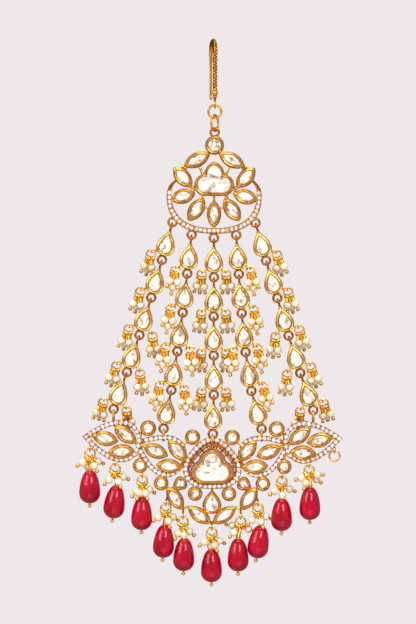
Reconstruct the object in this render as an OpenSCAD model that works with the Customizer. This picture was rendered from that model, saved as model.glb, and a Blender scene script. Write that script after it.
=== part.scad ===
// Passa jhoomar headpiece: a hair hook and two rings carry a medallion of petal settings,
// five strands of pear settings with pearl clusters, a winged base plate and ten red drops.
// Millimetres. The front faces -Y, +X is to the right of someone who looks at the front, +Z is up.
// The origin is the seat: the inside of the hook's top bend, where the headpiece hangs.

/* [Hook] */
// Distance between the front bar and the rear wire of the hook, centre to centre
hook_gap = 6.4; // [6:0.1:7]
// Radius of the decorated front bar
hook_bar_r = 0.8; // [0.75:0.05:0.9]
// Radius of the wire in the bend
hook_bend_r = 0.7; // [0.5:0.05:0.7]
// Radius of the rear wire
hook_wire_r = 0.4; // [0.3:0.05:0.5]
// Turn of the hook about the vertical, which shows the rear wire beside the bar
hook_turn = 12; // [0:1:18]
// Height of the knob under the bar, measured down from the seat
knob_drop = 15.7; // [15:0.1:16]
// Length of the rear wire below the seat
hook_tail = 17.2; // [15:0.1:18]

/* [Rings] */
// Clearance between two wires that hang in each other
link_gap = 0.12; // [0.1:0.01:0.15]
// Radius of the top jump ring, to the middle of its wire
top_ring_R = 2.0; // [1.9:0.05:2.1]
// Radius of the second jump ring, to the middle of its wire
drop_ring_R = 2.45; // [2.3:0.05:2.5]
// Wire radius of both jump rings
jump_r = 0.35; // [0.3:0.01:0.36]

/* [Medallion] */
// Outer radius of the round bezel at the top
med_round_r = 2.97; // [2.9:0.05:3.1]
// Half width of the stone-set crescent
crescent_rx = 14.85; // [14.6:0.05:15]
// Depth of the crescent below its widest level
crescent_ry = 11.72; // [11.5:0.05:12]
// Width of the crescent band at the bottom
crescent_w = 1.8; // [1.6:0.1:2]

/* [Strands] */
// Distance from ring to ring along a strand
pitch = 12.25; // [12.2:0.05:12.4]
// Width of a pear setting
pear_w = 5.8; // [5.6:0.1:5.9]
// Length of a pear setting
pear_l = 8; // [7.9:0.1:8.1]
// Wall of a pear setting
pear_wall = 0.85; // [0.7:0.05:0.9]
// Diameter of a pearl
pearl_d = 2.44; // [2.3:0.02:2.46]

/* [Base] */
// Length of the outer leaf of the base
outer_leaf_l = 18.4; // [18.2:0.1:18.5]
// Width of the outer leaf of the base
outer_leaf_w = 13.3; // [13.2:0.1:13.4]
// Length of the inner leaf of the base
inner_leaf_l = 17.2; // [17:0.1:17.4]
// Width of the inner leaf of the base
inner_leaf_w = 13.2; // [13.1:0.1:13.3]
// Height of the band round the centre stone
centre_band_l = 15.8; // [15.6:0.1:15.9]
// Width of the band round the centre stone
centre_band_w = 18.8; // [18.6:0.1:18.9]
// Width of the stone-set rims
rim_w = 1.6; // [1.5:0.1:1.7]
// Distance from the middle strand's last ring down to the centre of the base
base_drop = 10.2; // [10:0.1:10.4]

/* [Drops] */
// Height of a red bead
bead_h = 10; // [9.6:0.1:10]
// Greatest diameter of a red bead
bead_d = 6.6; // [6.2:0.1:6.6]
// Diameter of a red bead at its top
bead_top_d = 3.2; // [3:0.1:3.6]

/* [Hidden] */
STRANDS = [0, 1, 2, 3, 4];
DROPS = [0, 1, 2, 3, 4, 5, 6, 7, 8, 9];

gold = "goldenrod";
dark_gold = "darkgoldenrod";
clear = "whitesmoke";
cream = "antiquewhite";
crimson = "crimson";
$fn = 32;

// Linked wires: the lower ring's top wire lies just above the upper ring's bottom wire.
// Each ring is [radius to the middle of the wire, wire radius].
function link_drop(up, low) = up[0] + low[0] - up[1] - low[1] - link_gap;
hook_eye = [1.0, 0.32];
top_ring = [top_ring_R, jump_r];
drop_ring = [drop_ring_R, jump_r];
loop = [1.28, 0.37];
bail = [1.12, 0.36];
side_eye = [0.9, 0.28];
cluster_ring = [1.4, 0.26];
drop_eye = [0.8, 0.28];
bead_ring = [1.5, 0.28];
side_ring = [1.65, 0.27];

// Heights down the middle of the piece.
bend_in_r = hook_gap / 2 - hook_bend_r;
hang_x = hook_gap / 2 * sin(hook_turn);
hang_y = -hook_gap / 2 * cos(hook_turn);
hook_eye_z = -knob_drop - 3.6;
top_ring_z = hook_eye_z - link_drop(hook_eye, top_ring);
drop_ring_z = top_ring_z - link_drop(top_ring, drop_ring);
med_z = drop_ring_z - link_drop(drop_ring, loop);

// Depths, measured towards the front from the middle plane.
back_rim = -0.8;
back_bezel = -1.0;
front_rim = 0.8;
front_bezel = 1.3;
front_cloud = 1.6;
back_wall = 0.5;
wall = 0.75;
stone_gap = 0.16;
table_rise = 0.35;

// Medallion petals, right-hand side: centre x, centre z, length, width,
// and tilt of the long axis from vertical, clockwise from the front.
PX = 0; PZ = 1; PL = 2; PW = 3; PT = 4;
med_petals = [
    [5.45, -8.65, 9.3, 4.6, -63],
    [9.85, -14.1, 8.4, 4.8, 43],
    [9.75, -20.1, 8.1, 4.7, -75],
    [5.6, -24.2, 8.7, 4.8, -35]];
med_bottom_petal = [0, -25.6, 8.7, 4.5, 0];
med_cloud_z = -16.7;
// Loops under the medallion, for the five strands: x and z.
med_loops = [[-12.97, -28.15], [-6.97, -32], [0, -33], [6.97, -32], [12.97, -28.15]];
// Solder joins of the medallion, right-hand side: from x, z to x, z, and width.
med_joins = [
    [3.3, -14, 4.7, -10.6, 1.2],
    [8.6, -11.6, 10.2, -10.6, 1.3],
    [6.2, -17.6, 8.2, -16.6, 1.5],
    [6.3, -17.8, 7.0, -19.2, 1.4],
    [3.6, -19.4, 4.2, -21.2, 1.5],
    [5.4, -20.9, 7.2, -20.0, 1.3],
    [1.7, -23.7, 3.6, -23.7, 1.0],
    [11.6, -14.4, 12.6, -15.6, 1.0]];

// Strands: tilts of their five links, to the right if positive, and the sides
// of each link that carry a pearl cluster, -1 for left and 1 for right.
TILTS = 0; SIDES = 1;
strand_table = [
    [[-15.2, -15.5, -17, -18.2, -19.4], [[-1], [-1], [-1, 1], [-1, 1], [-1, 1]]],
    [[-6, -6.2, -7.5, -8.3, -11], [[-1], [-1], [-1, 1], [-1, 1], []]],
    [[0.5, 0, 0.5, 0.5, -1], [[-1, 1], [-1, 1], [-1, 1], [-1, 1], []]],
    [[4.2, 4.6, 6.2, 8.9, 15.5], [[1], [1], [-1, 1], [1], []]],
    [[16, 17.2, 17, 17.8, 19.8], [[1], [1], [-1, 1], [-1, 1], [-1, 1]]]];
bail_drop = link_drop(loop, bail);
tip_drop = bail_drop + bail[0] + bail[1] - 0.12;
pear_mid = tip_drop + pear_l * 2 / 3;
eye_angle = 35;
eye_reach = 2.9 + side_eye[0] - 0.1;
cluster_rise = side_eye[1] + cluster_ring[1] + link_gap;
cluster_swing = 6;
cluster_lean = [16, -24, 25, -26, 16];
rim_lean = 27;
pin_splay = 11.5;
pin_start = [0.7, -1.22];
pin_r = 0.15;
neck_r = 0.42;
neck_l = 1.6;
ball_r = 0.6;
pearl_r = pearl_d / 2;
pearl_at = neck_l + pearl_r + 0.15;
ball_at = pearl_at + pearl_r + ball_r + 0.13;
drill_r = pin_r + 0.12;

// Leaf stones of the base, right-hand side, in the columns of med_petals.
outer_leaf_at = [28.5, 7.75];
outer_leaf_turn = 83.5;
inner_leaf_at = [14.0, 3.0];
inner_leaf_turn = 66;
centre_band_z = -2.4;
leaf_petals = [
    [33.5, 8.5, 8.4, 4.7, 77],
    [27.2, 9.7, 8.7, 4.6, 54],
    [28.4, 4.4, 8.5, 4.8, 95],
    [17.7, 4.7, 8.4, 4.6, 68],
    [10.9, 5.0, 8.7, 4.6, 41],
    [13.4, 0.0, 8.4, 4.6, 85]];
fan_petals = [[11.5, -10.0, 8.7, 4.6, 35], [3.9, -15.2, 9.0, 4.4, 54]];
// Round bezels of the base, right-hand side: x, z and outer radius.
round_bezels = [[20.1, 11.8, 2.5], [6.3, 8.9, 2.4], [22.5, 0.1, 2.3], [15.9, -5.3, 2.3], [5.5, -8.8, 2.3]];
// Drop-shaped settings of the base: x, z, length, width and turn.
small_pear = [9.6, -5.2, 5.0, 4.4, 125];
centre_pear = [0, -12.3, 7.5, 6.0, 0];
base_cloud_z = -2.4;
// Solder joins of the base, right-hand side: from x, z to x, z, and width.
base_joins = [
    [37.0, 9.2, 39.0, 9.5, 1.5],
    [30.0, 11.8, 31.0, 13.2, 1.2],
    [24.2, 7.5, 22.6, 6.6, 1.2],
    [21.0, 6.1, 23.2, 7.0, 1.5],
    [22.4, 11.2, 22.6, 7.0, 1.3],
    [22.4, 5.0, 22.5, 1.6, 1.5],
    [22.9, 4.4, 24.6, 3.0, 1.4],
    [0, 6.4, 0, 4.4, 1.2],
    [0, -5.2, 0, -6.6, 1.6],
    [6.3, 8.9, 9.5, 6.5, 1.2],
    [6.4, -12.5, 9.0, -12.9, 1.1],
    [2.6, -8.8, 4.2, -8.9, 1.2],
    [12.6, -6.4, 14.6, -6.4, 1.2],
    [10.8, -7.0, 10.6, -8.6, 1.2],
    [2.6, 6.2, 5.2, 7.8, 1.2],
    [6.6, -3.0, 7.4, -4.4, 1.4]];

// Drops: x and z of the eye, shift of the collar, tilt of the bead, and the
// angles of the two pearl pins from straight down, to the right if positive.
DX = 0; DZ = 1; DSHIFT = 2; DTILT = 3; DPINS = 4;
drop_table = [
    [-38.2, 5.45, 0, 0, [-62, 70]],
    [-30.3, 0.75, 0.6, -7, [-48, 68]],
    [-21.8, -2.8, 0, -1, [-44, 60]],
    [-14.4, -11.4, -0.2, -3.5, [-60, 62]],
    [-9, -15.5, 0.5, -1.5, [-35, 53]],
    [0, -18.9, 0, 0, [-59, 66]],
    [9, -15.5, -0.7, 0, [-50, 72]],
    [14.4, -11.4, 1.1, -8, [-46, 70]],
    [21.8, -2.8, 0, 0, [-58, 70]],
    [30.3, 0.75, 0.3, 0, [-72, 60]]];
side_ring_eye = [38.2, 5.4];
// Where each drop eye's stem is soldered, from the eye's centre: x and z.
eye_stems = [[0.3, 2], [0.2, 1.6], [0, 1], [0.35, 1.8], [0, 2.6],
             [0, 1.8], [0, 2.6], [-0.35, 1.8], [0, 1], [-0.2, 1.6]];
pin_turn = 28;
collar_r = 0.72;
collar_z = -4.75;
bead_z = -0.9;
bead_pin_r = 0.2;
bead_wide = 0.68;

// Outlines, as lists of points in the front view.
// A drop has a pointed end up; its origin is the middle of its round part.
function drop_outline(w, l, n = 28) = [
    for (i = [0:n - 1]) if (i != 1 && i != n - 1)
        let (t = 360 * i / n) [-w / 1.5396 * sin(t) * sin(t / 2), l * (2 / 3 - (1 - cos(t)) / 2)]];
// A petal is the lens between two arcs, with its points up and down.
function petal_outline(w, l, n = 7) =
    let (r = (l * l + w * w) / (4 * w), a = asin(l / 2 / r)) concat(
        [for (i = [0:n - 1]) let (t = -a + 2 * a * i / n) [w / 2 - r + r * cos(t), r * sin(t)]],
        [for (i = [0:n - 1]) let (t = a - 2 * a * i / n) [r - w / 2 - r * cos(t), r * sin(t)]]);
function round_outline(r, n = 12) = [for (i = [0:n - 1]) r * [cos(360 * i / n), sin(360 * i / n)]];
// The cloud: two side lobes and a pointed arch, each drawn in by the inset.
lobe = [2.97, 3.22];
arch = [-1.72, 3.44, 4.47];
function crossing(r1, r2) =
    let (d = [arch[0] - lobe[0], arch[1]], q = norm(d), a = (q * q + r1 * r1 - r2 * r2) / (2 * q),
         h = sqrt(r1 * r1 - a * a))
    [lobe[0] + (a * d[0] + h * d[1]) / q, (a * d[1] - h * d[0]) / q];
function cloud_half(inset, n) =
    let (r1 = lobe[1] - inset, r2 = arch[2] - inset, k = crossing(r1, r2),
         a1 = atan2(k[1], k[0] - lobe[0]), a2 = atan2(k[1] - arch[1], k[0] - arch[0]), a3 = acos(-arch[0] / r2))
    concat([for (i = [0:n]) let (t = -90 + (a1 + 90) * i / n) [lobe[0] + r1 * cos(t), r1 * sin(t)]],
           [for (i = [1:n / 2]) let (t = a2 + (a3 - a2) * i / (n / 2)) [arch[0] + r2 * cos(t), arch[1] + r2 * sin(t)]]);
function mirrored(p) = [for (i = [len(p) - 1:-1:0]) [-p[i][0], p[i][1]]];
function cloud_outline(inset = 0, n = 12) =
    let (half = cloud_half(inset, n)) concat(half, [for (p = mirrored(half)) if (p[0] < -0.01) p]);
// The crescent's edge at angle t from the right: a rounded square-ish oval, shallow above its middle.
function oval_power(v) = sign(v) * pow(abs(v), 2 / 2.4);
function crescent_edge(t, in) =
    [(crescent_rx - in) * oval_power(cos(t)), (t > 180 ? crescent_ry - in : 7.6 - in / 2) * oval_power(sin(t))];
crescent_from = -222;
crescent_to = 42;
function crescent_width(t) = crescent_w * (0.45 + 0.55 * max(0, min(1, (132 - abs(t + 90)) / 60)));
function crescent_outline(n = 56) = concat(
    [for (i = [0:n]) let (t = crescent_from + (crescent_to - crescent_from) * i / n) crescent_edge((t + 360) % 360, 0)],
    [for (i = [n:-1:0]) let (t = crescent_from + (crescent_to - crescent_from) * i / n)
        crescent_edge((t + 360) % 360, crescent_width(t))]);

module torus(ring) { rotate_extrude() translate([ring[0], 0]) circle(ring[1]); }
module face_on(ring) { rotate([90, 0, 0]) torus(ring); }
module edge_on(ring) { rotate([90, 0, 90]) torus(ring); }
module stand() { rotate([90, 0, 0]) children(); }
module hang() { translate([hang_x, hang_y, 0]) children(); }
module both_sides() { children(); mirror([1, 0, 0]) children(); }
module slab(back, front) { translate([0, 0, back]) linear_extrude(front - back) children(); }
module at(x, z, turn = 0) { translate([x, z]) rotate(-turn) children(); }
module bar_2d(x1, z1, x2, z2, w) {
    translate([x1, z1]) rotate(atan2(z2 - z1, x2 - x1)) translate([0, -w / 2])
        square([norm([x2 - x1, z2 - z1]), w]);
}

// A cut stone in the front view: its back, a girdle, a bevelled crown and a flat table.
module gem(outline, back, front, crown = 0.7) {
    n = len(outline);
    layers = [[0.94, back], [1, back + 0.3], [1, front - 0.45], [crown, front]];
    points = concat([for (l = layers) for (p = outline) [p[0] * l[0], p[1] * l[0], l[1]]],
                    [[0, 0, back], [0, 0, front]]);
    sides = [for (k = [0:2]) for (i = [0:n - 1])
        [k * n + i, k * n + n + i, k * n + n + (i + 1) % n, k * n + (i + 1) % n]];
    under = [for (i = [0:n - 1]) [4 * n, i, (i + 1) % n]];
    table = [for (i = [0:n - 1]) [4 * n + 1, 3 * n + (i + 1) % n, 3 * n + i]];
    polyhedron(points, concat(sides, under, table));
}
stone_back = back_bezel + back_wall + stone_gap;
stone_inset = wall + stone_gap;

// Hook: front bar with its knob, bend, rear wire, and the eye under the knob.
module hook_bar() {
    top = -bend_in_r;
    rotate_extrude() polygon(concat(
        [for (a = [0:15:90]) [hook_bar_r * sin(a), top + hook_bar_r * cos(a)]],
        [[hook_bar_r, -knob_drop + 1.3], [0.55, -knob_drop + 1.1]],
        [for (a = [40:20:140]) [0.92 * sin(a), -knob_drop + 1.15 * cos(a)]],
        [[0.5, -knob_drop - 1.5], [0.34, -knob_drop - 2.9], [0, -knob_drop - 2.9]]));
}
module hook_tail_wire() {
    top = -bend_in_r;
    thick = hook_bend_r + 0.03;
    rotate_extrude() polygon(concat(
        [for (a = [0:15:90]) [thick * sin(a), top + thick * cos(a)]],
        [[hook_wire_r, top - 3], [hook_wire_r, -hook_tail + 0.9]],
        [for (a = [30:20:150]) [0.5 * sin(a), -hook_tail + 0.5 * cos(a)]],
        [[0, -hook_tail - 0.5]]));
}
module hair_hook() {
    color(gold) {
        rotate(hook_turn) {
            translate([0, -hook_gap / 2, 0]) hook_bar();
            translate([0, hook_gap / 2, 0]) hook_tail_wire();
            translate([0, 0, -bend_in_r]) rotate([90, 0, 90])
                rotate_extrude(angle = 180) translate([hook_gap / 2, 0]) circle(hook_bend_r);
        }
        hang() translate([0, 0, hook_eye_z]) edge_on(hook_eye);
    }
}
module top_ring() { color(dark_gold) hang() translate([0, 0, top_ring_z]) face_on(top_ring); }
module drop_ring() { color(dark_gold) hang() translate([0, 0, drop_ring_z]) edge_on(drop_ring); }

// Medallion.
module place_medallion() { hang() translate([0, 0, med_z]) children(); }
module petal_at(p, inset = 0) { at(p[PX], p[PZ], p[PT]) polygon(petal_outline(p[PW] - 2 * inset, p[PL] - 3.2 * inset)); }
module medallion_plan() {
    both_sides() {
        for (p = med_petals) petal_at(p);
        for (j = med_joins) bar_2d(j[0], j[1], j[2], j[3], j[4]);
    }
    petal_at(med_bottom_petal);
    translate([0, -4.06]) circle(med_round_r);
    bar_2d(0, -19.5, 0, -22, 1.1);
}
module medallion_frame() {
    color(gold) place_medallion() {
        stand() difference() {
            union() {
                slab(back_bezel, front_bezel) medallion_plan();
                slab(back_bezel + 0.1, front_cloud) translate([0, med_cloud_z]) polygon(cloud_outline());
                slab(back_rim, front_rim) translate([0, -20]) polygon(crescent_outline());
            }
            slab(back_bezel + back_wall, front_cloud + 1) {
                both_sides() for (p = med_petals) petal_at(p, wall);
                petal_at(med_bottom_petal, wall);
                translate([0, -4.06]) circle(med_round_r - wall);
                translate([0, med_cloud_z]) polygon(cloud_outline(wall));
            }
        }
        face_on(loop);
        for (l = med_loops) translate([l[0], 0, l[1]]) face_on(loop);
        both_sides() translate([12.4, 0, -27.2]) sphere(0.5);
    }
}
module medallion_round_stone() {
    color(clear) place_medallion() stand() translate([0, -4.06])
        gem(round_outline(med_round_r - stone_inset, 14), stone_back, front_bezel + table_rise);
}
module medallion_cloud_stone() {
    color(clear) place_medallion() stand() translate([0, med_cloud_z + 1.6, 0])
        gem([for (p = cloud_outline(stone_inset)) [p[0], p[1] - 1.6]], stone_back, front_cloud + table_rise, 0.78);
}
module petal_stone(p, front = front_bezel) {
    translate([p[PX], p[PZ], 0]) rotate(-p[PT])
        gem(petal_outline(p[PW] - 2 * stone_inset, p[PL] - 3.2 * stone_inset), stone_back, front + table_rise, 0.62);
}
module medallion_petal_stones() {
    color(clear) place_medallion() stand() {
        for (p = med_petals) {
            petal_stone(p);
            petal_stone([-p[PX], p[PZ], p[PL], p[PW], -p[PT]]);
        }
        petal_stone(med_bottom_petal);
    }
}

// Strands: ring n of strand s, counted from the medallion's loop, in the medallion's frame.
function ring_at(s, n) = n == 0 ? med_loops[s] :
    ring_at(s, n - 1) + pitch * [sin(strand_table[s][TILTS][n - 1]), -cos(strand_table[s][TILTS][n - 1])];
module place_link(s, n) {
    p = ring_at(s, n);
    place_medallion() translate([p[0], 0, p[1]]) rotate([0, -strand_table[s][TILTS][n], 0]) children();
}
module pear_setting(sides) {
    translate([0, 0, -bail_drop]) edge_on(bail);
    translate([0, 0, -pitch]) face_on(loop);
    stand() translate([0, -pear_mid]) difference() {
        slab(-1.05, 1.05) polygon(drop_outline(pear_w, pear_l, 32));
        slab(-0.6, 2) polygon(drop_outline(pear_w - 2 * pear_wall, pear_l - 2.1 * pear_wall, 32));
    }
    for (k = sides) translate([0, 0, -pear_mid]) rotate([0, k > 0 ? eye_angle : 180 - eye_angle, 0])
        translate([eye_reach, 0, 0]) torus(side_eye);
}
module strand_settings(s) {
    color(dark_gold) for (n = [0:4]) place_link(s, n) pear_setting(strand_table[s][SIDES][n]);
}
module strand_stones(s) {
    inset = pear_wall + stone_gap + 0.04;
    color(clear) for (n = [0:4]) place_link(s, n) stand() translate([0, -pear_mid])
        gem(drop_outline(pear_w - 2 * inset, pear_l - 2.1 * inset, 16), -0.48, 1.3, 0.66);
}
// A cluster hangs from the outer wire of a side eye, upright but for its swing and lean.
// Those at the foot of the outer strands lean back, behind the rim of the base.
module place_cluster(s, n, k) {
    tilts = strand_table[s][TILTS];
    swing = k * (cluster_swing + max(0, k * tilts[min(n + 1, 4)]) / 2);
    lean = n == 4 ? rim_lean : cluster_lean[s];
    reach = eye_reach + side_eye[0];
    place_link(s, n) translate([k * reach * cos(eye_angle), 0, -pear_mid - reach * sin(eye_angle)])
        rotate([0, tilts[n] - swing, 0]) translate([0, 0, cluster_rise])
            rotate([lean, 0, 0]) translate([0, 0, -cluster_ring[0]]) children();
}
module each_cluster(s) {
    for (n = [0:4]) for (k = strand_table[s][SIDES][n]) place_cluster(s, n, k) children();
}
module on_pin(k) { translate([k * pin_start[0], 0, pin_start[1]]) rotate([0, -k * pin_splay, 0]) children(); }
module pearl_pin() {
    translate([0, 0, -neck_l]) cylinder(r = neck_r, h = neck_l);
    translate([0, 0, -ball_at]) cylinder(r = pin_r, h = ball_at);
    translate([0, 0, -ball_at]) sphere(ball_r);
}
module pearl() {
    translate([0, 0, -pearl_at]) difference() {
        sphere(pearl_r);
        cylinder(r = drill_r, h = 4, center = true);
    }
}
module strand_cluster_wires(s) {
    color(gold) each_cluster(s) {
        face_on(cluster_ring);
        for (k = [-1, 1]) on_pin(k) pearl_pin();
    }
}
module strand_pearls(s) { color(cream) each_cluster(s) for (k = [-1, 1]) on_pin(k) pearl(); }

// Base.
base_z = ring_at(2, 5)[1] - base_drop;
module place_base() { place_medallion() translate([0, 0, base_z]) children(); }
module leaf_rim(w, l, inset) { polygon(drop_outline(w - 2 * inset, l - 2.2 * inset, 40)); }
module rim_plan(inset) {
    both_sides() {
        at(outer_leaf_at[0], outer_leaf_at[1], outer_leaf_turn) leaf_rim(outer_leaf_w, outer_leaf_l, inset);
        at(inner_leaf_at[0], inner_leaf_at[1], inner_leaf_turn) leaf_rim(inner_leaf_w, inner_leaf_l, inset);
    }
}
module drop_at(p, inset = 0) { at(p[0], p[1], p[4]) polygon(drop_outline(p[3] - 2 * inset, p[2] - 2.1 * inset)); }
module base_plan() {
    both_sides() {
        for (p = leaf_petals) petal_at(p);
        for (p = fan_petals) petal_at(p);
        for (b = round_bezels) translate([b[0], b[1]]) circle(b[2]);
        drop_at(small_pear);
        for (j = base_joins) bar_2d(j[0], j[1], j[2], j[3], j[4]);
    }
    drop_at(centre_pear);
}
module base_pockets() {
    both_sides() {
        for (p = leaf_petals) petal_at(p, wall);
        for (p = fan_petals) petal_at(p, wall);
        for (b = round_bezels) translate([b[0], b[1]]) circle(b[2] - wall);
        drop_at(small_pear, wall);
    }
    drop_at(centre_pear, wall);
    translate([0, base_cloud_z]) polygon(cloud_outline(wall));
}
// A wire from the eye's near side to the place where it is soldered.
module stem(x, z, dx, dz) {
    translate([x, 0, z]) rotate([0, atan2(dx, dz), 0]) translate([0, 0, drop_eye[0] - 0.05])
        cylinder(r = drop_eye[1] + 0.04, h = norm([dx, dz]) - drop_eye[0]);
}
module base_frame() {
    color(gold) place_base() {
        stand() difference() {
            union() {
                slab(back_bezel, front_bezel) base_plan();
                slab(back_bezel + 0.1, front_cloud) translate([0, base_cloud_z]) polygon(cloud_outline());
                slab(back_rim, front_rim) difference() { rim_plan(0); rim_plan(rim_w); }
                slab(back_rim + 0.1, front_rim + 0.1) translate([0, centre_band_z]) difference() {
                    leaf_rim(centre_band_w, centre_band_l, 0);
                    leaf_rim(centre_band_w, centre_band_l, rim_w);
                }
            }
            slab(back_bezel + back_wall, front_cloud + 1) base_pockets();
        }
        for (s = STRANDS) {
            p = ring_at(s, 5);
            eye_z = p[1] - base_z - link_drop(loop, bail);
            translate([p[0], 0, eye_z]) edge_on(bail);
            translate([p[0], 0, eye_z - bail[0] - 1.3]) cylinder(r = 0.42, h = 1.5);
        }
        for (d = DROPS) {
            translate([drop_table[d][DX], 0, drop_table[d][DZ]]) edge_on(drop_eye);
            stem(drop_table[d][DX], drop_table[d][DZ], eye_stems[d][0], eye_stems[d][1]);
        }
        translate([side_ring_eye[0], 0, side_ring_eye[1]]) edge_on(drop_eye);
        stem(side_ring_eye[0], side_ring_eye[1], -0.4, 2.2);
    }
}
module base_cloud_stone() {
    color(clear) place_base() stand() translate([0, base_cloud_z + 1.6, 0])
        gem([for (p = cloud_outline(stone_inset)) [p[0], p[1] - 1.6]], stone_back, front_cloud + table_rise, 0.78);
}
module drop_stone(p) {
    translate([p[0], p[1], 0]) rotate(-p[4])
        gem(drop_outline(p[3] - 2 * stone_inset, p[2] - 2.1 * stone_inset, 16), stone_back, front_bezel + table_rise, 0.66);
}
module base_pear_stones() {
    color(clear) place_base() stand() {
        drop_stone(centre_pear);
        drop_stone(small_pear);
        drop_stone([-small_pear[0], small_pear[1], small_pear[2], small_pear[3], -small_pear[4]]);
    }
}
module mirrored_petals(table) {
    color(clear) place_base() stand() for (p = table) {
        petal_stone(p);
        petal_stone([-p[PX], p[PZ], p[PL], p[PW], -p[PT]]);
    }
}
module base_leaf_stones() { mirrored_petals(leaf_petals); }
module base_fan_stones() { mirrored_petals(fan_petals); }
module base_round_stones() {
    color(clear) place_base() stand() for (b = round_bezels) for (k = [-1, 1])
        translate([k * b[0], b[1], 0]) gem(round_outline(b[2] - stone_inset), stone_back, front_bezel + table_rise);
}
module base_side_ring() {
    color(gold) place_base() translate([side_ring_eye[0], 0, side_ring_eye[1] - link_drop(drop_eye, side_ring)])
        face_on(side_ring);
}

// Drops: the frame of each is the middle of its ring.
module place_drop(d) {
    place_base() translate([drop_table[d][DX], 0, drop_table[d][DZ] - link_drop(drop_eye, bead_ring)]) children();
}
module at_collar(d) {
    translate([drop_table[d][DSHIFT], 0, collar_z]) rotate([0, -drop_table[d][DTILT], 0]) children();
}
// Pins turn a little about the vertical: the left ones come forward, the right ones go back.
module each_drop_pin(d) {
    for (a = drop_table[d][DPINS]) translate([0, 0, -bead_ring[0]]) rotate([0, -a, pin_turn]) children();
}
module drop_wire(d) {
    shift = drop_table[d][DSHIFT];
    neck = norm([shift, collar_z + bead_ring[0]]);
    face_on(bead_ring);
    translate([0, 0, -bead_ring[0]]) rotate([0, atan2(-shift, -collar_z - bead_ring[0]), 0])
        translate([0, 0, -neck]) cylinder(r = 0.45, h = neck + 0.1);
    each_drop_pin(d) pearl_pin();
    at_collar(d) {
        sphere(collar_r);
        translate([0, 0, bead_z - bead_h - ball_r - 0.1]) {
            cylinder(r = bead_pin_r, h = bead_h + 1.4);
            sphere(ball_r);
        }
    }
}
module drop_wires() { color(gold) for (d = DROPS) place_drop(d) drop_wire(d); }
module drop_pearls() {
    color(cream) for (d = DROPS) place_drop(d) each_drop_pin(d) pearl();
}
// Half section of a bead: shoulders that widen as a sine, then a round bottom, with a drilled hole.
bead_hole_r = bead_pin_r + 0.12;
module bead_section() {
    low = bead_h * (1 - bead_wide);
    polygon(concat(
        [[bead_hole_r, 0], [bead_top_d / 2 - 0.4, 0]],
        [for (i = [0:8]) let (a = 90 * i / 8)
            [bead_top_d / 2 + (bead_d - bead_top_d) / 2 * sin(a), -0.3 - (bead_h * bead_wide - 0.3) * i / 8]],
        [for (a = [12:12:84]) [bead_d / 2 * cos(a), -bead_h * bead_wide - low * sin(a)]],
        [[bead_hole_r, -bead_h]]));
}
module drop_bead(d) { color(crimson) place_drop(d) at_collar(d) translate([0, 0, bead_z]) rotate_extrude() bead_section(); }

hair_hook();
top_ring();
drop_ring();
medallion_frame();
medallion_round_stone();
medallion_cloud_stone();
medallion_petal_stones();
for (s = STRANDS) {
    strand_settings(s);
    strand_stones(s);
    strand_cluster_wires(s);
    strand_pearls(s);
}
base_frame();
base_cloud_stone();
base_pear_stones();
base_leaf_stones();
base_fan_stones();
base_round_stones();
base_side_ring();
drop_wires();
drop_pearls();
for (d = DROPS) drop_bead(d);
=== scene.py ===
# %% [markdown]
# # A passa jhoomar headpiece
# A hair hook carries a small medallion, five strands of pear-shaped settings with pearl
# clusters, a winged base plate and a fringe of red glass drops. Everything is gold-plated brass
# set with clear foil-backed glass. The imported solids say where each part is; this lesson gives
# each part the surface that it has in the hand.

# %% The frame
import math

import bpy
import numpy as np
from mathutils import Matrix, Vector


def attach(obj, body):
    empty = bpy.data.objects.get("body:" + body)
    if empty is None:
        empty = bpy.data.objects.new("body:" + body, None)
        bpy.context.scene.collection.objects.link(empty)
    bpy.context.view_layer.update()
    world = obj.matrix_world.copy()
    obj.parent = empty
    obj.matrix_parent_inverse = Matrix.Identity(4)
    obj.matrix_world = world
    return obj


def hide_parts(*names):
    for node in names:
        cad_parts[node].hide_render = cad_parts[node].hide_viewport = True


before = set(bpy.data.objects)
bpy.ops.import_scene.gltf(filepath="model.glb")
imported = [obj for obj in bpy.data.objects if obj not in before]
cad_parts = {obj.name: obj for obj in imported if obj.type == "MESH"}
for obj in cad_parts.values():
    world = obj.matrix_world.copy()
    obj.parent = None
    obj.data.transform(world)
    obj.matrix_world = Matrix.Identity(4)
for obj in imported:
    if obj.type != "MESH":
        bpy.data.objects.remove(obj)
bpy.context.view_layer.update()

# %% [markdown]
# ## Camera
# The photograph is a product shot from straight in front, from far away, so parallel lines stay
# parallel. A long lens a metre and a half away gives that. The piece hangs a little crooked in
# the picture, which a small roll of the camera repeats.

# %% Camera
PICTURE_H, PIXEL = 624, 0.3125               # height in pixels, millimetres that one pixel covers
SENSOR, SHOT = 36, 1500.0                    # sensor and distance to the front of the piece, mm
AIM_X, AIM_Z, FRONT = -1.0, -84.2, 3.0       # what it looks at, and how far that lies to the front
ROLL = -0.42
camera_data = bpy.data.cameras.new("long_lens")
camera_data.sensor_width = SENSOR
camera_data.lens = SENSOR * SHOT / (PICTURE_H * PIXEL)
camera = bpy.data.objects.new("camera", camera_data)
bpy.context.scene.collection.objects.link(camera)
camera.location = (AIM_X / 1000, -(SHOT + FRONT) / 1000, AIM_Z / 1000)
camera.rotation_euler = (math.radians(90), math.radians(ROLL), 0)
bpy.context.scene.camera = camera
print("lens", round(camera_data.lens, 1), "mm")

# %% [markdown]
# ## Placing things
# The positions are the ones of the solids: millimetres, X right, Z up, front towards -Y. Parented
# empties could hang the links in each other, but the objects have to stay at the origin. So small
# 4 by 4 matrices stack like the moves of a hand: go to the ring, tilt, go down, turn.

# %% Moves
def shift(x=0.0, y=0.0, z=0.0):
    """Matrix that moves by x, y, z."""
    m = np.eye(4)
    m[:3, 3] = x, y, z
    return m


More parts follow.
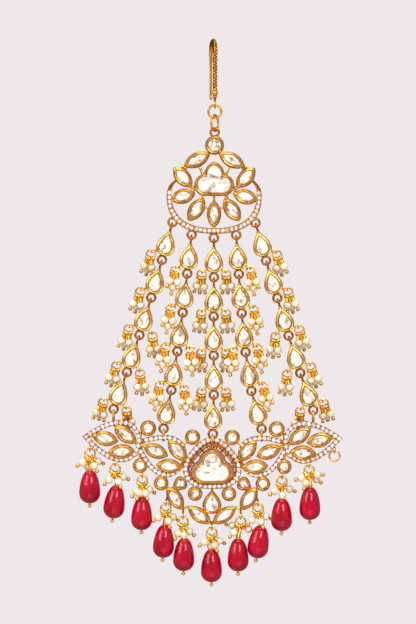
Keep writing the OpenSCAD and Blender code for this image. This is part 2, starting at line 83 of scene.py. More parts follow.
def turn(axis, degrees):
    """Matrix that turns about an axis, 0 to 2 for X to Z, by the right-hand rule."""
    a, b = [(1, 2), (2, 0), (0, 1)][axis]
    c, s = math.cos(math.radians(degrees)), math.sin(math.radians(degrees))
    m = np.eye(4)
    m[a, a] = m[b, b] = c
    m[a, b], m[b, a] = -s, s
    return m


MIRROR = np.diag([-1.0, 1, 1, 1])
FACE_ON = turn(0, 90)                        # a ring seen as a circle from the front
EDGE_ON = turn(2, 90) @ turn(0, 90)          # a ring seen as a line from the front
GAP = 0.12                                   # air between two wires that hang in each other


def link_drop(up, low):
    """Distance between the centres of two linked rings, each (radius to its wire, wire radius)."""
    return up[0] + low[0] - up[1] - low[1] - GAP


print("a 2 mm ring hangs", round(link_drop((1.0, 0.3), (2.0, 0.3)), 2), "mm below a 1 mm eye")

# %% [markdown]
# ## Surfaces
# A surface here is a stack of rings of points. Neighbouring rings are joined by four-sided
# faces, and a pole closes an end with a fan of triangles. Each ring also carries one number,
# the wear-and-shade value: 0 in a recess, where the colour is darkened as painted shade and for
# the polish left there, and 1 on a raised edge, where it is lightened as a painted highlight and
# for rubbed wear. The gold and the glass read it. Bevelled curves and spun profiles could make
# most of these shapes too. Arrays are chosen because one section has to follow dozens of
# outlines, and its painted shade and highlight have to come along.

# %% Skins
def skin(rings, lip=0.6, poles=(None, None), closed=False):
    """Surface through rings, an array (rows, points, 3). Quad i, j joins points i, j to i+1, j+1."""
    rows, cols, _ = rings.shape
    r = np.arange(rows if closed else rows - 1)[:, None]
    c = np.arange(cols)[None, :]
    r2, c2 = (r + 1) % rows, (c + 1) % cols
    quads = np.stack([r * cols + c, r * cols + c2, r2 * cols + c2, r2 * cols + c], -1).reshape(-1, 4)
    verts = rings.reshape(-1, 3)
    # One wear-and-shade value a ring: low paints shade into recesses, high paints a highlight on raised
    # edges.
    wear_and_shade_values = np.repeat(np.broadcast_to(np.asarray(lip, float), (rows,)), cols)
    tris = np.zeros((0, 3), int)
    edge = np.arange(cols)
    for pole, row in zip(poles, (0, rows - 1)):
        if pole is not None:
            tip = np.full(cols, len(verts))
            one, two = row * cols + edge, row * cols + (edge + 1) % cols
            fan = np.stack([tip, two, one] if row == 0 else [tip, one, two], -1)
            tris = np.concatenate([tris, fan])
            verts = np.concatenate([verts, np.asarray(pole, float)[None]])
            wear_and_shade_values = np.append(wear_and_shade_values, wear_and_shade_values[row * cols])
    return outward({"v": verts, "q": quads, "t": tris, "lip": wear_and_shade_values})


def volume(part):
    """Signed volume: the sum over triangles of a . (b x c) / 6."""
    q = part["q"]
    t = np.concatenate([q[:, [0, 1, 2]], q[:, [0, 2, 3]], part["t"]])
    a, b, c = (part["v"][t[:, k]] for k in range(3))
    return float(np.einsum("ij,ij->", a, np.cross(b, c)) / 6)


def outward(part):
    """Turns the faces round where the shell is inside out."""
    if volume(part) < 0:
        part["q"], part["t"] = part["q"][:, ::-1], part["t"][:, ::-1]
    return part


corners = [(1, 1), (-1, 1), (-1, -1), (1, -1)]
block = skin(np.array([[(x, y, z) for x, y in corners] for z in (0, 1)], float), poles=((0, 0, 0), (0, 0, 1)))
print("a 2 by 2 by 1 block encloses", volume(block))

# %% [markdown]
# A part is a set of arrays, so a copy is a multiplication and an assembly is a concatenation.
# Linked copies of one mesh would be lighter, but a soldered or wound part is one piece.

# %% Copies
def copies(part, places):
    """The part at every matrix of the list, as one part; a mirrored copy has its faces turned."""
    m = np.stack(places)
    v = np.einsum("kij,nj->kni", m[:, :3, :3], part["v"]) + m[:, None, :3, 3]
    step = (np.arange(len(m)) * len(part["v"]))[:, None, None]
    flip = np.linalg.det(m[:, :3, :3]) < 0
    faces = {}
    for key in ("q", "t"):
        f = part[key][None] + step
        f[flip] = f[flip][:, :, ::-1]
        faces[key] = f.reshape(-1, part[key].shape[1])
    marks = {k: np.concatenate([part[k]] * len(m)) for k in ("lip", "spot") if k in part}
    return {"v": v.reshape(-1, 3), **marks, **faces}


def heap(*parts):
    """Several parts as one."""
    at = np.cumsum([0] + [len(p["v"]) for p in parts])
    out = {k: np.concatenate([p[k] for p in parts]) for k in ("v", "lip", "spot") if k in parts[0]}
    out.update({k: np.concatenate([p[k] + a for p, a in zip(parts, at)]) for k in ("q", "t")})
    return out


print("the block and its mirror image enclose", volume(copies(block, [np.eye(4), MIRROR])))
print("and three blocks in a heap", volume(heap(block, block, block)))

# %% [markdown]
# Wire, turned beads and jump rings are the jeweller's stock. A wire is a circle carried along a
# path, a turned shape is a profile carried round an axis, and a ring is a circle carried round
# a circle.

# %% Wire, beads and rings
def tube(path, radius, sides=8, lip=0.6, bulge=0.3):
    """Round wire along a path: at each point a circle of that radius, square to the path."""
    path = np.asarray(path, float)
    along = np.gradient(path, axis=0)
    along /= np.linalg.norm(along, axis=1)[:, None]
    no_wire_runs_this_way = [0.31, 0.87, 0.38]
    side = np.cross(along, no_wire_runs_this_way)
    side /= np.linalg.norm(side, axis=1)[:, None]
    other = np.cross(along, side)
    a = np.linspace(0, 2 * np.pi, sides, endpoint=False)[None, :, None]
    r = np.broadcast_to(np.asarray(radius, float), (len(path),))[:, None, None]
    rings = path[:, None] + r * (np.cos(a) * side[:, None] + np.sin(a) * other[:, None])
    return skin(rings, lip, (path[0] - along[0] * bulge * r[0, 0], path[-1] + along[-1] * bulge * r[-1, 0]))


def lathe(profile, sides=24, lip=0.6):
    """Turned shape about Z: rows of (radius, height); the first and last radius close at a pole."""
    p = np.asarray(profile, float)
    a = np.linspace(0, 2 * np.pi, sides, endpoint=False)
    rings = np.stack([p[:, :1] * np.cos(a), p[:, :1] * np.sin(a), np.repeat(p[:, 1:], sides, 1)], -1)
    return skin(rings, lip, ((0, 0, p[0, 1]), (0, 0, p[-1, 1])))


def ball(r, sides=14, rows=9, lip=0.75):
    """Sphere of radius r: rows at even angles from pole to pole."""
    a = np.linspace(0, np.pi, rows + 2)[1:-1]
    return lathe(np.stack([r * np.sin(a), r * np.cos(a)], -1), sides, lip)


def ring(size, sides=26, wire=9, lip=0.65):
    """Torus about Z: a wire of radius size[1] whose middle runs at size[0]."""
    a = np.linspace(0, 2 * np.pi, sides, endpoint=False)[:, None]
    b = np.linspace(0, 2 * np.pi, wire, endpoint=False)[None]
    out = size[0] + size[1] * np.cos(b)
    rings = np.stack([out * np.cos(a), out * np.sin(a), size[1] * np.sin(b) + 0 * a], -1)
    return skin(rings, lip, closed=True)


print("a 1 mm ball of flat faces has", round(volume(ball(1.0)) / (4 / 3 * math.pi), 2), "of its volume")

# %% [markdown]
# ## Colours and finishes
# Colours are written as the eye sees them, in sRGB hex, and one function turns them into the
# linear light that the renderer counts in. Another one adds a shader node with its settings,
# its colour stops and its links.

# %% Colour and nodes
def rgb(code):
    """Linear RGBA from an sRGB hex code."""
    c = np.array([int(code[i:i + 2], 16) for i in (1, 3, 5)]) / 255
    return (*np.where(c <= 0.04045, c / 12.92, ((c + 0.055) / 1.055) ** 2.4), 1.0)


def feed(material, node, **sockets):
    """Gives a node's sockets, by name or as _number, a value or a link from (node, output)."""
    for key, value in sockets.items():
        socket = node.inputs[int(key[1:]) if key[0] == "_" else key.replace("_", " ")]
        if isinstance(value, tuple) and hasattr(value[0], "outputs"):
            material.node_tree.links.new(value[0].outputs[value[1]], socket)
        else:
            socket.default_value = value


def add(material, kind, settings=None, stops=(), **sockets):
    """Adds a shader node of a kind, with its own settings, (position, hex) stops and sockets."""
    node = material.node_tree.nodes.new("ShaderNode" + kind)
    for key, value in (settings or {}).items():
        setattr(node, key, value)
    for _ in stops[2:]:
        node.color_ramp.elements.new(0.5)
    for k, (at, code) in enumerate(stops):
        element = node.color_ramp.elements[k]
        element.position, element.color = at, rgb(code)
    feed(material, node, **sockets)
    return node


def finish_named(name):
    """An empty material, its Principled shader, and the place on the object to link patterns to."""
    m = bpy.data.materials.new(name)
    m.use_nodes = True
    return m, m.node_tree.nodes["Principled BSDF"], (add(m, "TexCoord"), "Object")


print("middle grey is", round(rgb("#808080")[0], 3), "in linear light")

# %% [markdown]
# Gold plate over cast brass: the colour is that of the plating, warm yellow where it is rubbed
# and brown where polish and dirt stay in a recess. The same value also paints shade into the
# recesses and a highlight onto the raised edges, so the brown is partly painted shade and the
# yellow partly a painted highlight. The recesses could be found with an ambient occlusion node.
# Here each section states its own wear-and-shade value, which costs no rays. Castings are never
# quite smooth, so a bump of about a third of a millimetre breaks the reflections.

# %% Gold
def gold_plate(name, bright, middle, deep, rough, cloud_mm=2.2, grain_mm=0.35):
    """Plated cast brass: colour from the wear-and-shade value (painted shade in recesses, painted highlight
    on edges) and a cloudy noise, roughness from the noise.
    """
    m, shader, place = finish_named(name)
    lip = add(m, "Attribute", {"attribute_name": "lip"})
    haze = add(m, "TexNoise", Vector=place, Scale=1000 / cloud_mm, Detail=3.0, Roughness=0.6)
    # Painted shade in recesses and painted highlight on raised edges, from the wear-and-shade value, with
    # noise.
    wear_and_shade_mix = add(m, "Math", {"operation": "MULTIPLY_ADD"}, _0=(haze, "Fac"), _1=0.5, _2=(lip, "Fac"))
    tone = add(m, "ValToRGB", stops=[(0.22, deep), (0.72, middle), (0.885, bright)], Fac=(wear_and_shade_mix, 0))
    grain = add(m, "TexNoise", Vector=place, Scale=1000 / grain_mm, Detail=2.0)
    bump = add(m, "Bump", Height=(grain, "Fac"), Strength=0.35, Distance=0.00006)
    gloss = add(m, "MapRange", Value=(haze, "Fac"), To_Min=rough - 0.07, To_Max=rough + 0.13)
    feed(m, shader, Base_Color=(tone, "Color"), Roughness=(gloss, "Result"), Normal=(bump, "Normal"),
         Metallic=1.0)
    return m


# Deep is the painted shade of the recesses, bright the painted highlight of raised edges, each with the
# rubbed wear.
gold = gold_plate("gold_plated_cast_brass", "#F6BE52", "#D08024", "#4A1A06", 0.22)
old_gold = gold_plate("antique_gold_plated_wire", "#EAA63A", "#BE6E1A", "#4A1A06", 0.24)
print("finishes:", gold.name, "and", old_gold.name)

# %% [markdown]
# Polki-cut glass on silver foil: broad flat facets over a crumpled foil. From the front the eye
# sees creamy white glare with wedges of warm grey that run from the middle to the edge, and the
# gold of the cup reflected round the rim. Clear glass over a mirror would show this only after many
# bounces, and would be dark under a small light. So an opaque shader with a clear coat has the
# glare and the grey wedges painted into its colour, as painted reflections of the foil, and its rim
# painted brown, as the cup's painted reflection and shade; it is as bright as the real stone. Each
# stone carries its own middle and number in an attribute, which turns the wedges round that middle.

# %% Foil-backed glass
# Painted reflection: the foil's glare and grey wedges, given as colour.
PAINTED_FOIL_GLARE = [(0.39, "#8C7A6E"), (0.45, "#C6B3A0"), (0.5, "#F0E2CE"), (0.55, "#FFF6E6"), (0.64, "#FFFEFA")]
STONE_STEP = 7.31                            # how far apart two stones read their noise


def polki_glass(wedges=1.2, flutes=3.5, shares=(0.34, 0.12, 0.54), core=1.5):
    """Tone = a share each of a wedge and a flute noise over the direction v / sqrt(v.v + core^2),
    a share of long blotches, and a small step from stone to stone."""
    m, shader, _ = finish_named("polki_glass_on_foil")
    spot = (add(m, "Attribute", {"attribute_name": "spot"}), "Vector")
    times, times_add, plus = ({"operation": name} for name in ("MULTIPLY", "MULTIPLY_ADD", "ADD"))
    flat = add(m, "VectorMath", times, _0=spot, _1=(1, 1, 0))
    far = add(m, "VectorMath", {"operation": "DOT_PRODUCT"}, _0=(flat, 0), _1=(flat, 0))
    far = add(m, "Math", plus, _0=(far, 1), _1=core ** 2)
    near = add(m, "Math", {"operation": "INVERSE_SQRT"}, _0=(far, 0))
    way = add(m, "VectorMath", {"operation": "SCALE"}, _0=(flat, 0), Scale=(near, 0))
    number = add(m, "VectorMath", times, _0=spot, _1=(0.1, 0.1, STONE_STEP))
    aim = add(m, "VectorMath", plus, _0=(way, 0), _1=(number, 0))
    long_way = add(m, "VectorMath", times, _0=spot, _1=(1.0, 0.5, STONE_STEP))
    wedge = add(m, "TexNoise", Vector=(aim, 0), Scale=wedges, Detail=1.0)
    flute = add(m, "TexNoise", Vector=(aim, 0), Scale=flutes, Detail=1.0)
    blotch = add(m, "TexNoise", Vector=(long_way, 0), Scale=0.8, Detail=2.5, Distortion=0.6)
    lot = add(m, "SeparateXYZ", Vector=(number, 0))
    lot = add(m, "TexWhiteNoise", {"noise_dimensions": "1D"}, W=(lot, 2))
    tone = add(m, "Math", times_add, _0=(lot, "Value"), _1=0.08, _2=-0.02)
    for noise, share in zip((wedge, flute, blotch), shares):
        tone = add(m, "Math", times_add, _0=(noise, "Fac"), _1=share, _2=(tone, 0))
    shade = add(m, "ValToRGB", stops=PAINTED_FOIL_GLARE, Fac=(tone, 0))
    lip = add(m, "Attribute", {"attribute_name": "lip"})
    # Painted reflection and shade of the gold cup: the stone turns brown where its wear-and-shade value is
    # low, at the girdle.
    body = add(m, "Mix", {"data_type": "RGBA"}, _0=(lip, "Fac"), _6=rgb("#8F6640"), _7=(shade, "Color"))
    crumple = add(m, "Bump", Height=(flute, "Fac"), Strength=0.3, Distance=0.0002)
    feed(m, shader, Base_Color=(body, 2), Normal=(crumple, "Normal"), Roughness=0.16, Metallic=0.1,
         IOR=1.52, Coat_Weight=1.0, Coat_Roughness=0.03)
    return m


polki = polki_glass()
print("finish:", polki.name)

# %% [markdown]
# The small stones are machine-cut and less than a millimetre and a half wide. At that size the
# eye only sees one bright and one grey facet, so a cell pattern paints those glints and grey
# reflections into the colour in place of the cut.

# %% Small stones' glass
def chip_glass(patch_mm=0.6):
    """Small round stones: a Voronoi pattern paints on each a few patches of white glint and pearl-grey
    reflection.
    """
    m, shader, place = finish_named("round_glass_chips")
    patch = add(m, "TexVoronoi", Vector=place, Scale=1000 / patch_mm)
    value = add(m, "SeparateColor", Color=(patch, "Color"))
    # Painted glints and grey facet reflections, from pinkish grey to white.
    painted_glints = [(0.12, "#C9B0A6"), (0.35, "#F0E6E2"), (0.6, "#FFFFFF")]
    tone = add(m, "ValToRGB", stops=painted_glints, Fac=(value, 0))
    feed(m, shader, Base_Color=(tone, "Color"), Roughness=0.08, Metallic=0.1, IOR=1.52, Coat_Weight=1.0)
    return m


chips = chip_glass()
print("finish:", chips.name)

# %% [markdown]
# Pearls glow: light enters the nacre and comes out cream, and a thin film gives a soft second
# highlight. A plain glossy white would look like plastic. A little subsurface light and a coat
# give the depth.

# %% Pearl
def nacre(tint_mm=4.0):
    """Cream pearl with a slight change of tone from pearl to pearl."""
    m, shader, place = finish_named("cream_pearl_nacre")
    tint = add(m, "TexNoise", Vector=place, Scale=1000 / tint_mm, Detail=1.0)
    creams = [(0.32, "#EFD49E"), (0.5, "#F9E6BC"), (0.68, "#FFF5DF")]
    tone = add(m, "ValToRGB", stops=creams, Fac=(tint, "Fac"))
    feed(m, shader, Base_Color=(tone, "Color"), Roughness=0.2, IOR=1.6, Sheen_Weight=0.1, Coat_Weight=1.0,
         Coat_Roughness=0.08, Coat_IOR=1.8, Subsurface_Weight=0.1, Subsurface_Scale=0.0004)
    return m


pearl_finish = nacre()
print("finish:", pearl_finish.name)

# %% [markdown]
# The red drops are dyed glass: nearly opaque, glossy, deepest where the glass is thick, with
# faint streaks along the drop. True transmission would let the pale air shine through and turn
# them pink, so the light is kept just under the skin.

# %% Red glass
def red_glass(streak_mm=2.5):
    """Crimson glass: streaks stretched four times along Z, gloss from a smooth coat."""
    m, shader, place = finish_named("crimson_dyed_glass")
    long_way = add(m, "Mapping", Vector=place, Scale=(1.0, 1.0, 0.25))
    streak = add(m, "TexNoise", Vector=(long_way, 0), Scale=1000 / streak_mm, Detail=4.0, Roughness=0.65)
    reds = [(0.3, "#8C001A"), (0.5, "#AE0022"), (0.7, "#C80232")]
    tone = add(m, "ValToRGB", stops=reds, Fac=(streak, "Fac"))
    feed(m, shader, Base_Color=(tone, "Color"), Roughness=0.2, IOR=1.5, Specular_IOR_Level=0.1,
         Coat_Weight=0.45, Coat_Roughness=0.05,
         Subsurface_Weight=0.15, Subsurface_Radius=(1.0, 0.12, 0.1), Subsurface_Scale=0.0012)
    return m


crimson = red_glass()
print("finish:", crimson.name)

# %% [markdown]
# ## Making pieces
# The arrays go into a mesh as they are, in metres and in place, so that each object can stay at
# the origin. Metal and beads are shaded smooth up to their sharp edges, and cut stones flat.

# %% Making pieces
SHARP = math.radians(42)


def make(name, part, finish, nodes=(), body="pendant", soft=True):
    """Puts a part into a mesh with its wear-and-shade and spot attributes, and lets it ride on its body."""
    mesh = bpy.data.meshes.new(name)
    q, t = part["q"], part["t"]
    mesh.vertices.add(len(part["v"]))
    mesh.vertices.foreach_set("co", (part["v"] / 1000).astype(np.float32).ravel())
    mesh.loops.add(q.size + t.size)
    mesh.loops.foreach_set("vertex_index", np.concatenate([q.ravel(), t.ravel()]).astype(np.int32))
    mesh.polygons.add(len(q) + len(t))
    starts = np.concatenate([np.arange(len(q)) * 4, q.size + np.arange(len(t)) * 3])
    mesh.polygons.foreach_set("loop_start", starts.astype(np.int32))
    mesh.update(calc_edges=True)
    # Wear-and-shade attribute: painted shade in recesses, painted highlight on raised edges.
    wear_and_shade_values = mesh.attributes.new("lip", "FLOAT", "POINT").data
    wear_and_shade_values.foreach_set("value", part["lip"].astype(np.float32))
    if "spot" in part:
        spots = mesh.attributes.new("spot", "FLOAT_VECTOR", "POINT").data
        spots.foreach_set("vector", part["spot"].astype(np.float32).ravel())
    mesh.polygons.foreach_set("use_smooth", np.full(len(mesh.polygons), soft))
    if soft:
        mesh.set_sharp_from_angle(angle=SHARP)
    mesh.materials.append(finish)
    obj = bpy.data.objects.new(name, mesh)
    bpy.context.scene.collection.objects.link(obj)
    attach(obj, body)
    if nodes:
        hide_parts(*nodes)
    print(name, len(q) * 2 + len(t), "triangles")


# %% [markdown]
# ## Outlines
# Every setting is a closed curve in the front view that can be drawn in by an inset: petals are
# lenses between two arcs, pears come from one trigonometric curve, rounds are circles, and the
# cloud is two lobes and an arch. The same curve gives the wall, the lip and the stone.

# %% Petals, pears and rounds
PETAL_TAPER, PEAR_TAPER = 3.2, 2.1           # length that is lost per millimetre of inset
PEAR_SWELL = 1.5396                          # twice the greatest sin t sin(t/2)


def lens(w, l, n=12):
    """Petal: two arcs of radius (l^2 + w^2) / 4w, through points up and down."""
    r = (l * l + w * w) / (4 * w)
    a = math.asin(l / 2 / r)
    t = -a + 2 * a * np.arange(n) / n
    right = np.stack([w / 2 - r + r * np.cos(t), r * np.sin(t)], -1)
    return np.concatenate([right, -right])


def pear(w, l, n=36):
    """Pear with its point up: x = -w / swell sin t sin(t/2), z = l (2/3 - (1 - cos t) / 2)."""
    t = 2 * np.pi * np.arange(n) / n
    return np.stack([-w / PEAR_SWELL * np.sin(t) * np.sin(t / 2), l * (2 / 3 - (1 - np.cos(t)) / 2)], -1)


def circle(r, n=28):
    """Circle of radius r."""
    t = 2 * np.pi * np.arange(n) / n
    return r * np.stack([np.cos(t), np.sin(t)], -1)


def plan(points, x=0.0, z=0.0, tilt=0.0):
    """Turns the outline clockwise by tilt and moves it to x, z."""
    c, s = math.cos(math.radians(tilt)), math.sin(math.radians(tilt))
    return points @ np.array([[c, -s], [s, c]]) + [x, z]


def petal_of(p, n=12):
    """Outline of a petal as a function of its inset; p is x, z, length, width, tilt."""
    return lambda i: plan(lens(p[3] - 2 * i, p[2] - PETAL_TAPER * i, n), p[0], p[1], p[4])


def pear_of(p, n=36):
    """Outline of a pear as a function of its inset; p is x, z, length, width, tilt."""
    return lambda i: plan(pear(p[3] - 2 * i, p[2] - PEAR_TAPER * i, n), p[0], p[1], p[4])


def round_of(x, z, r, n=28):
    """Outline of a round setting as a function of its inset."""
    return lambda i: circle(r - i, n) + [x, z]


print("a pear of 5.8 by 8 is", np.ptp(pear(5.8, 8.0), axis=0).round(2), "mm")

# %% [markdown]
# The cloud is the shape of the two large stones. The medallion's one has a tall arch, and the
# base's one is broader, as they are on the piece. A curve drawn by hand would do for one size,
# but the wall, the lip and the stone need it at a dozen, and circles take that by their radii.

# %% Cloud
LOBE, ARCH = (2.85, 3.4), (-1.3, 3.0, 4.55)  # of the right half: lobe x, r and arch x, z, r
WIDE_LOBE, WIDE_ARCH = (2.75, 3.5), (-0.6, 3.05, 4.3)
EVEN_FROM, HEART, REACH = 0.8, 1.6, 4.2      # deeper insets shrink it evenly towards its heart


def cloud(inset=0.0, n=16, arch=ARCH, lobe=LOBE):
    """Right half: the lobe's circle up to where it crosses the arch's circle, then that one to x = 0."""
    inset, more = min(inset, EVEN_FROM), max(inset - EVEN_FROM, 0)
    r1, r2 = lobe[1] - inset, arch[2] - inset
    d = np.array([arch[0] - lobe[0], arch[1]])
    far = np.linalg.norm(d)
    a = (far * far + r1 * r1 - r2 * r2) / (2 * far)
    h = math.sqrt(r1 * r1 - a * a)
    cross = np.array([lobe[0] + (a * d[0] + h * d[1]) / far, (a * d[1] - h * d[0]) / far])
    t = np.linspace(-np.pi / 2, math.atan2(cross[1], cross[0] - lobe[0]), n + 1)
    start = math.atan2(cross[1] - arch[1], cross[0] - arch[0])
    u = np.linspace(start, math.acos(-arch[0] / r2), n // 2 + 1)[1:]
    half = np.concatenate([np.stack([lobe[0] + r1 * np.cos(t), r1 * np.sin(t)], -1),
                           np.stack([arch[0] + r2 * np.cos(u), arch[1] + r2 * np.sin(u)], -1)])
    other = half[::-1] * [-1, 1]
    whole = np.concatenate([half, other[other[:, 0] < -0.01]])
    return (whole - [0, HEART]) * (1 - more / REACH) + [0, HEART]


print("the clouds are", np.ptp(cloud(), axis=0).round(1), "and",
      np.ptp(cloud(arch=WIDE_ARCH, lobe=WIDE_LOBE), axis=0).round(1), "mm")

# %% [markdown]
# ## Settings and stones
# A setting is one sheet of metal pressed into a cup: a flat back, a wall, an outer bead, a
# groove and an inner lip pushed over the stone. A solid with a cut pocket would give the cup with
# hard edges. Its section is carried round the outline instead, which also gives the rubbed rim,
# the painted shade in the groove and the painted highlight on the bead and lip.

# %% Settings
# Rows are (inset, depth, wear-and-shade value): 0 paints shade into groove and foot, 1 a highlight on bead
# and lip, and .55 keeps the back from going dark.
CUP = [(0.0, -0.8, .55), (0.0, 0.4, 0), (0.05, 0.82, .1), (0.14, 1.07, .85), (0.23, 1.14, 1),
       (0.31, 1.06, .4), (0.38, 1.1, .4), (0.46, 1.26, .9), (0.57, 1.36, 1), (0.7, 1.33, .85),
       (0.81, 1.02, 0), (0.83, 0.2, 0)]
CLOUD_CUP = [(i, d + (0.3 if d > 0.8 else 0), lip) for i, d, lip in CUP]
PEAR_CUP = [(0.1, -1.05, .55), (0.0, -0.9, .4), (0.0, 0.5, 0), (0.06, 0.8, .1), (0.17, 1.0, .85),
            (0.3, 1.06, 1), (0.43, 1.0, .5), (0.52, 1.03, .6), (0.65, 1.1, 1), (0.8, 1.07, .9),
            (0.93, 0.84, 0), (0.96, 0.1, 0)]
BACK, PEAR_BACK = -1.0, -1.05                # depth of the cups' backs at their middle


def facing(points, depth):
    """Outline at a depth towards the front, as points in space."""
    return np.stack([points[:, 0], np.full(len(points), -depth), points[:, 1]], -1)


def setting(outline, section=CUP, back=BACK, inner=1.2):
    """The section's rows are (inset, depth, wear-and-shade value, which paints shade where low and a
    highlight where high). Poles close the back and the floor, at the mean of the outline inset by inner."""
    x, z = outline(inner).mean(0)
    rows = [facing(outline(i), d) for i, d, _ in section]
    return skin(np.stack(rows), [row[2] for row in section], ((x, -back, z), (x, -section[-1][1], z)))


def pair(part):
    """The part and its mirror image."""
    return copies(part, [np.eye(4), MIRROR])


print("settings:", [round(cup[8][1] - BACK, 2) for cup in (CUP, CLOUD_CUP)], "mm deep")

# %% [markdown]
# The stone under the lip has a bevel and a nearly flat top whose facets lie at slightly different
# heights, so that each catches its own light, as stones that are cut by hand do.

# %% Stones
STONE_HEIGHTS, CLOUD_HEIGHTS, PEAR_HEIGHTS = (-0.2, 0.95, 1.5), (-0.2, 1.2, 1.8), (-0.3, 0.75, 1.22)
UNEVEN = 0.06                                # how far the facets' corners stray in height
SPOT_REACH = 2.2                             # mean distance from the middle in the foil's pattern


def stone(outline, seed, heights=STONE_HEIGHTS, inset=0.72, bevel=0.5, fine=1.0):
    """Foil-backed stone: foot and girdle under the lip, a bevel, then a top of uneven facets.
    Its spot is the place seen from its middle, turned to its long axis, and its seed."""
    rng = np.random.default_rng(seed)
    low, girdle, top = heights
    rows = [facing(outline(inset), low), facing(outline(inset), girdle),
            facing(outline(inset + bevel), top - 0.08), facing(outline(inset + bevel * 2.1), top)]
    for row, share in ((2, 1.0), (3, 0.35)):
        rows[row][:, 1] += rng.normal(0, UNEVEN * share, len(rows[row]))
    x, z = outline(inset + bevel * 2).mean(0)
    # Foot and girdle get 0.1, which the glass paints brown as the cup's reflection and shade; the top gets
    # 0.9 to 1.
    part = skin(np.stack(rows), [0.1, 0.1, 0.9, 1], ((x, -low, z), (x, -top - 0.05, z)))
    away = part["v"][:, [0, 2]] - (x, z)
    reach = SPOT_REACH * fine / np.linalg.norm(away, axis=1).mean()
    away = away @ np.linalg.eigh(away.T @ away)[1] * reach
    part["spot"] = np.concatenate([away, np.full((len(away), 1), float(seed))], 1)
    return part


def both(outline_of, table, seed, later=40):
    """Stones of a table's settings and of their mirror images, each with its own facets."""
    right, left = ([stone(outline_of(p), s + k) for k, p in enumerate(table)] for s in (seed, seed + later))
    return heap(*right, *[copies(one, [MIRROR]) for one in left])


def coarse(p):
    """A petal of seven steps a side, as a stone is cut."""
    return petal_of(p, 7)


print("a petal stone has", len(stone(coarse((0, 0, 9, 5, 0)), 1)["v"]), "corners")

# %% [markdown]
# ## Stone-set rims
# The crescent and the leaves are edged with a channel between two raised wires, filled with
# small round stones held by grains of gold. An array along a curve would bunch them up at the
# tips of the leaves, so the steps are measured along the line. One stone of a few dozen faces is
# repeated.

# %% Channels
CHANNEL_WIRE = [(0.0, -0.8, .5), (0.0, 0.5, .1), (0.04, 0.74, .5), (0.08, 0.8, .8), (0.14, 0.7, .6),
                (0.17, 0.42, .5)]
CHANNEL = CHANNEL_WIRE + [(-i, d, lip) for i, d, lip in CHANNEL_WIRE[::-1]]


def channel_rows(edge, width):
    """The section along a rim: the outer wire counts from the outer edge, the other from the inner."""
    outer = len(CHANNEL_WIRE)
    return [facing(edge(i if k < outer else i + width), d) for k, (i, d, _) in enumerate(CHANNEL)]


def channel(outline, width):
    """Rim of that width along a closed outline."""
    return skin(np.stack(channel_rows(outline, width)), [row[2] for row in CHANNEL], closed=True)


def walk(points, pitch, closed=True):
    """Points at equal steps along a line, by interpolating its arc length, and the steps' directions."""
    p = np.concatenate([points, points[:1]]) if closed else points
    s = np.concatenate([[0], np.cumsum(np.linalg.norm(np.diff(p, axis=0), axis=1))])
    n = int(round(s[-1] / pitch))
    at = (np.arange(n) + (0.0 if closed else 0.5)) * s[-1] / n
    here = np.stack([np.interp(at, s, p[:, k]) for k in (0, 1)], -1)
    ahead = np.stack([np.interp((at + 0.1) % s[-1], s, p[:, k]) for k in (0, 1)], -1)
    return here, ahead - here


print("a circle of 3 mm takes", len(walk(circle(3.0), 1.5)[0]), "stones")

# %% [markdown]
# The stones in the rims are round and machine-cut, and grains of gold beside them hold them. A
# full brilliant cut would be lost at this size and is repeated more than a hundred times, so
# each has a girdle, eight bevels and a table.

# %% Small stones and grains
STONE_ROOM, GRAIN_FRONT = 1.3, 0.78          # least distance of two stones, depth of the grains
GRAIN_ASIDE = 0.27                           # the grains' distance from the stones' line, in rim widths


def chip(r, low=0.3, girdle=0.64, top=0.98, n=8):
    """Small round stone: girdle, eight bevels and a table."""
    rows = [facing(circle(r * 0.9, n), low), facing(circle(r, n), girdle), facing(circle(r * 0.62, n), top)]
    return skin(np.stack(rows), 0.5, ((0, -low, 0), (0, -top - 0.02, 0)))


def beaded(points, pitch, r, closed=True, deep=0.3, lip=0.35):
    """Row of soldered granules of radius r along a line."""
    return copies(ball(r, 8, 5, lip), [shift(x, -deep, z) for x, z in walk(points, pitch, closed)[0]])


def clear_of(points, taken, distance):
    """The points that keep their distance from those taken already."""
    if not len(taken):
        return np.ones(len(points), bool)
    return np.linalg.norm(points[:, None] - taken[None], axis=2).min(1) > distance


def set_stones(lines, width, pitch=1.5, closed=True):
    """Stones along each rim's middle line and two grains between neighbours; later rims give way."""
    taken, stones, grains = np.zeros((0, 2)), [], []
    for line in lines:
        here, way = walk(line, pitch, closed)
        keep = clear_of(here, taken, STONE_ROOM)
        stones += [shift(x, 0, z) for x, z in here[keep]]
        way /= np.linalg.norm(way, axis=1)[:, None]
        side = np.stack([way[:, 1], -way[:, 0]], -1) * width * GRAIN_ASIDE
        for k in (-1, 1):
            grains += [shift(x, -GRAIN_FRONT, z) for x, z in (here + way * pitch / 2 + k * side)[keep]]
        taken = np.concatenate([taken, here[keep]])
    return stones, grains


CHIP, SMALL_CHIP, GRAIN = chip(0.72), chip(0.66), ball(0.17, 7, 4, 0.3)
print("a small stone has", len(CHIP["q"]) * 2 + len(CHIP["t"]), "triangles")

# %% [markdown]
# ## Hook
# One wire bent like a hairpin: the front leg is a flat twisted strip with a granulated face, the
# rear leg is plain and ends in a small curl. The section's radius changes along the wire, and on
# the front leg it also swells and thins around the wire as the twist turns, which a bevelled
# curve can't do. Height 0 is the inside of the bend, where the hair holds it.

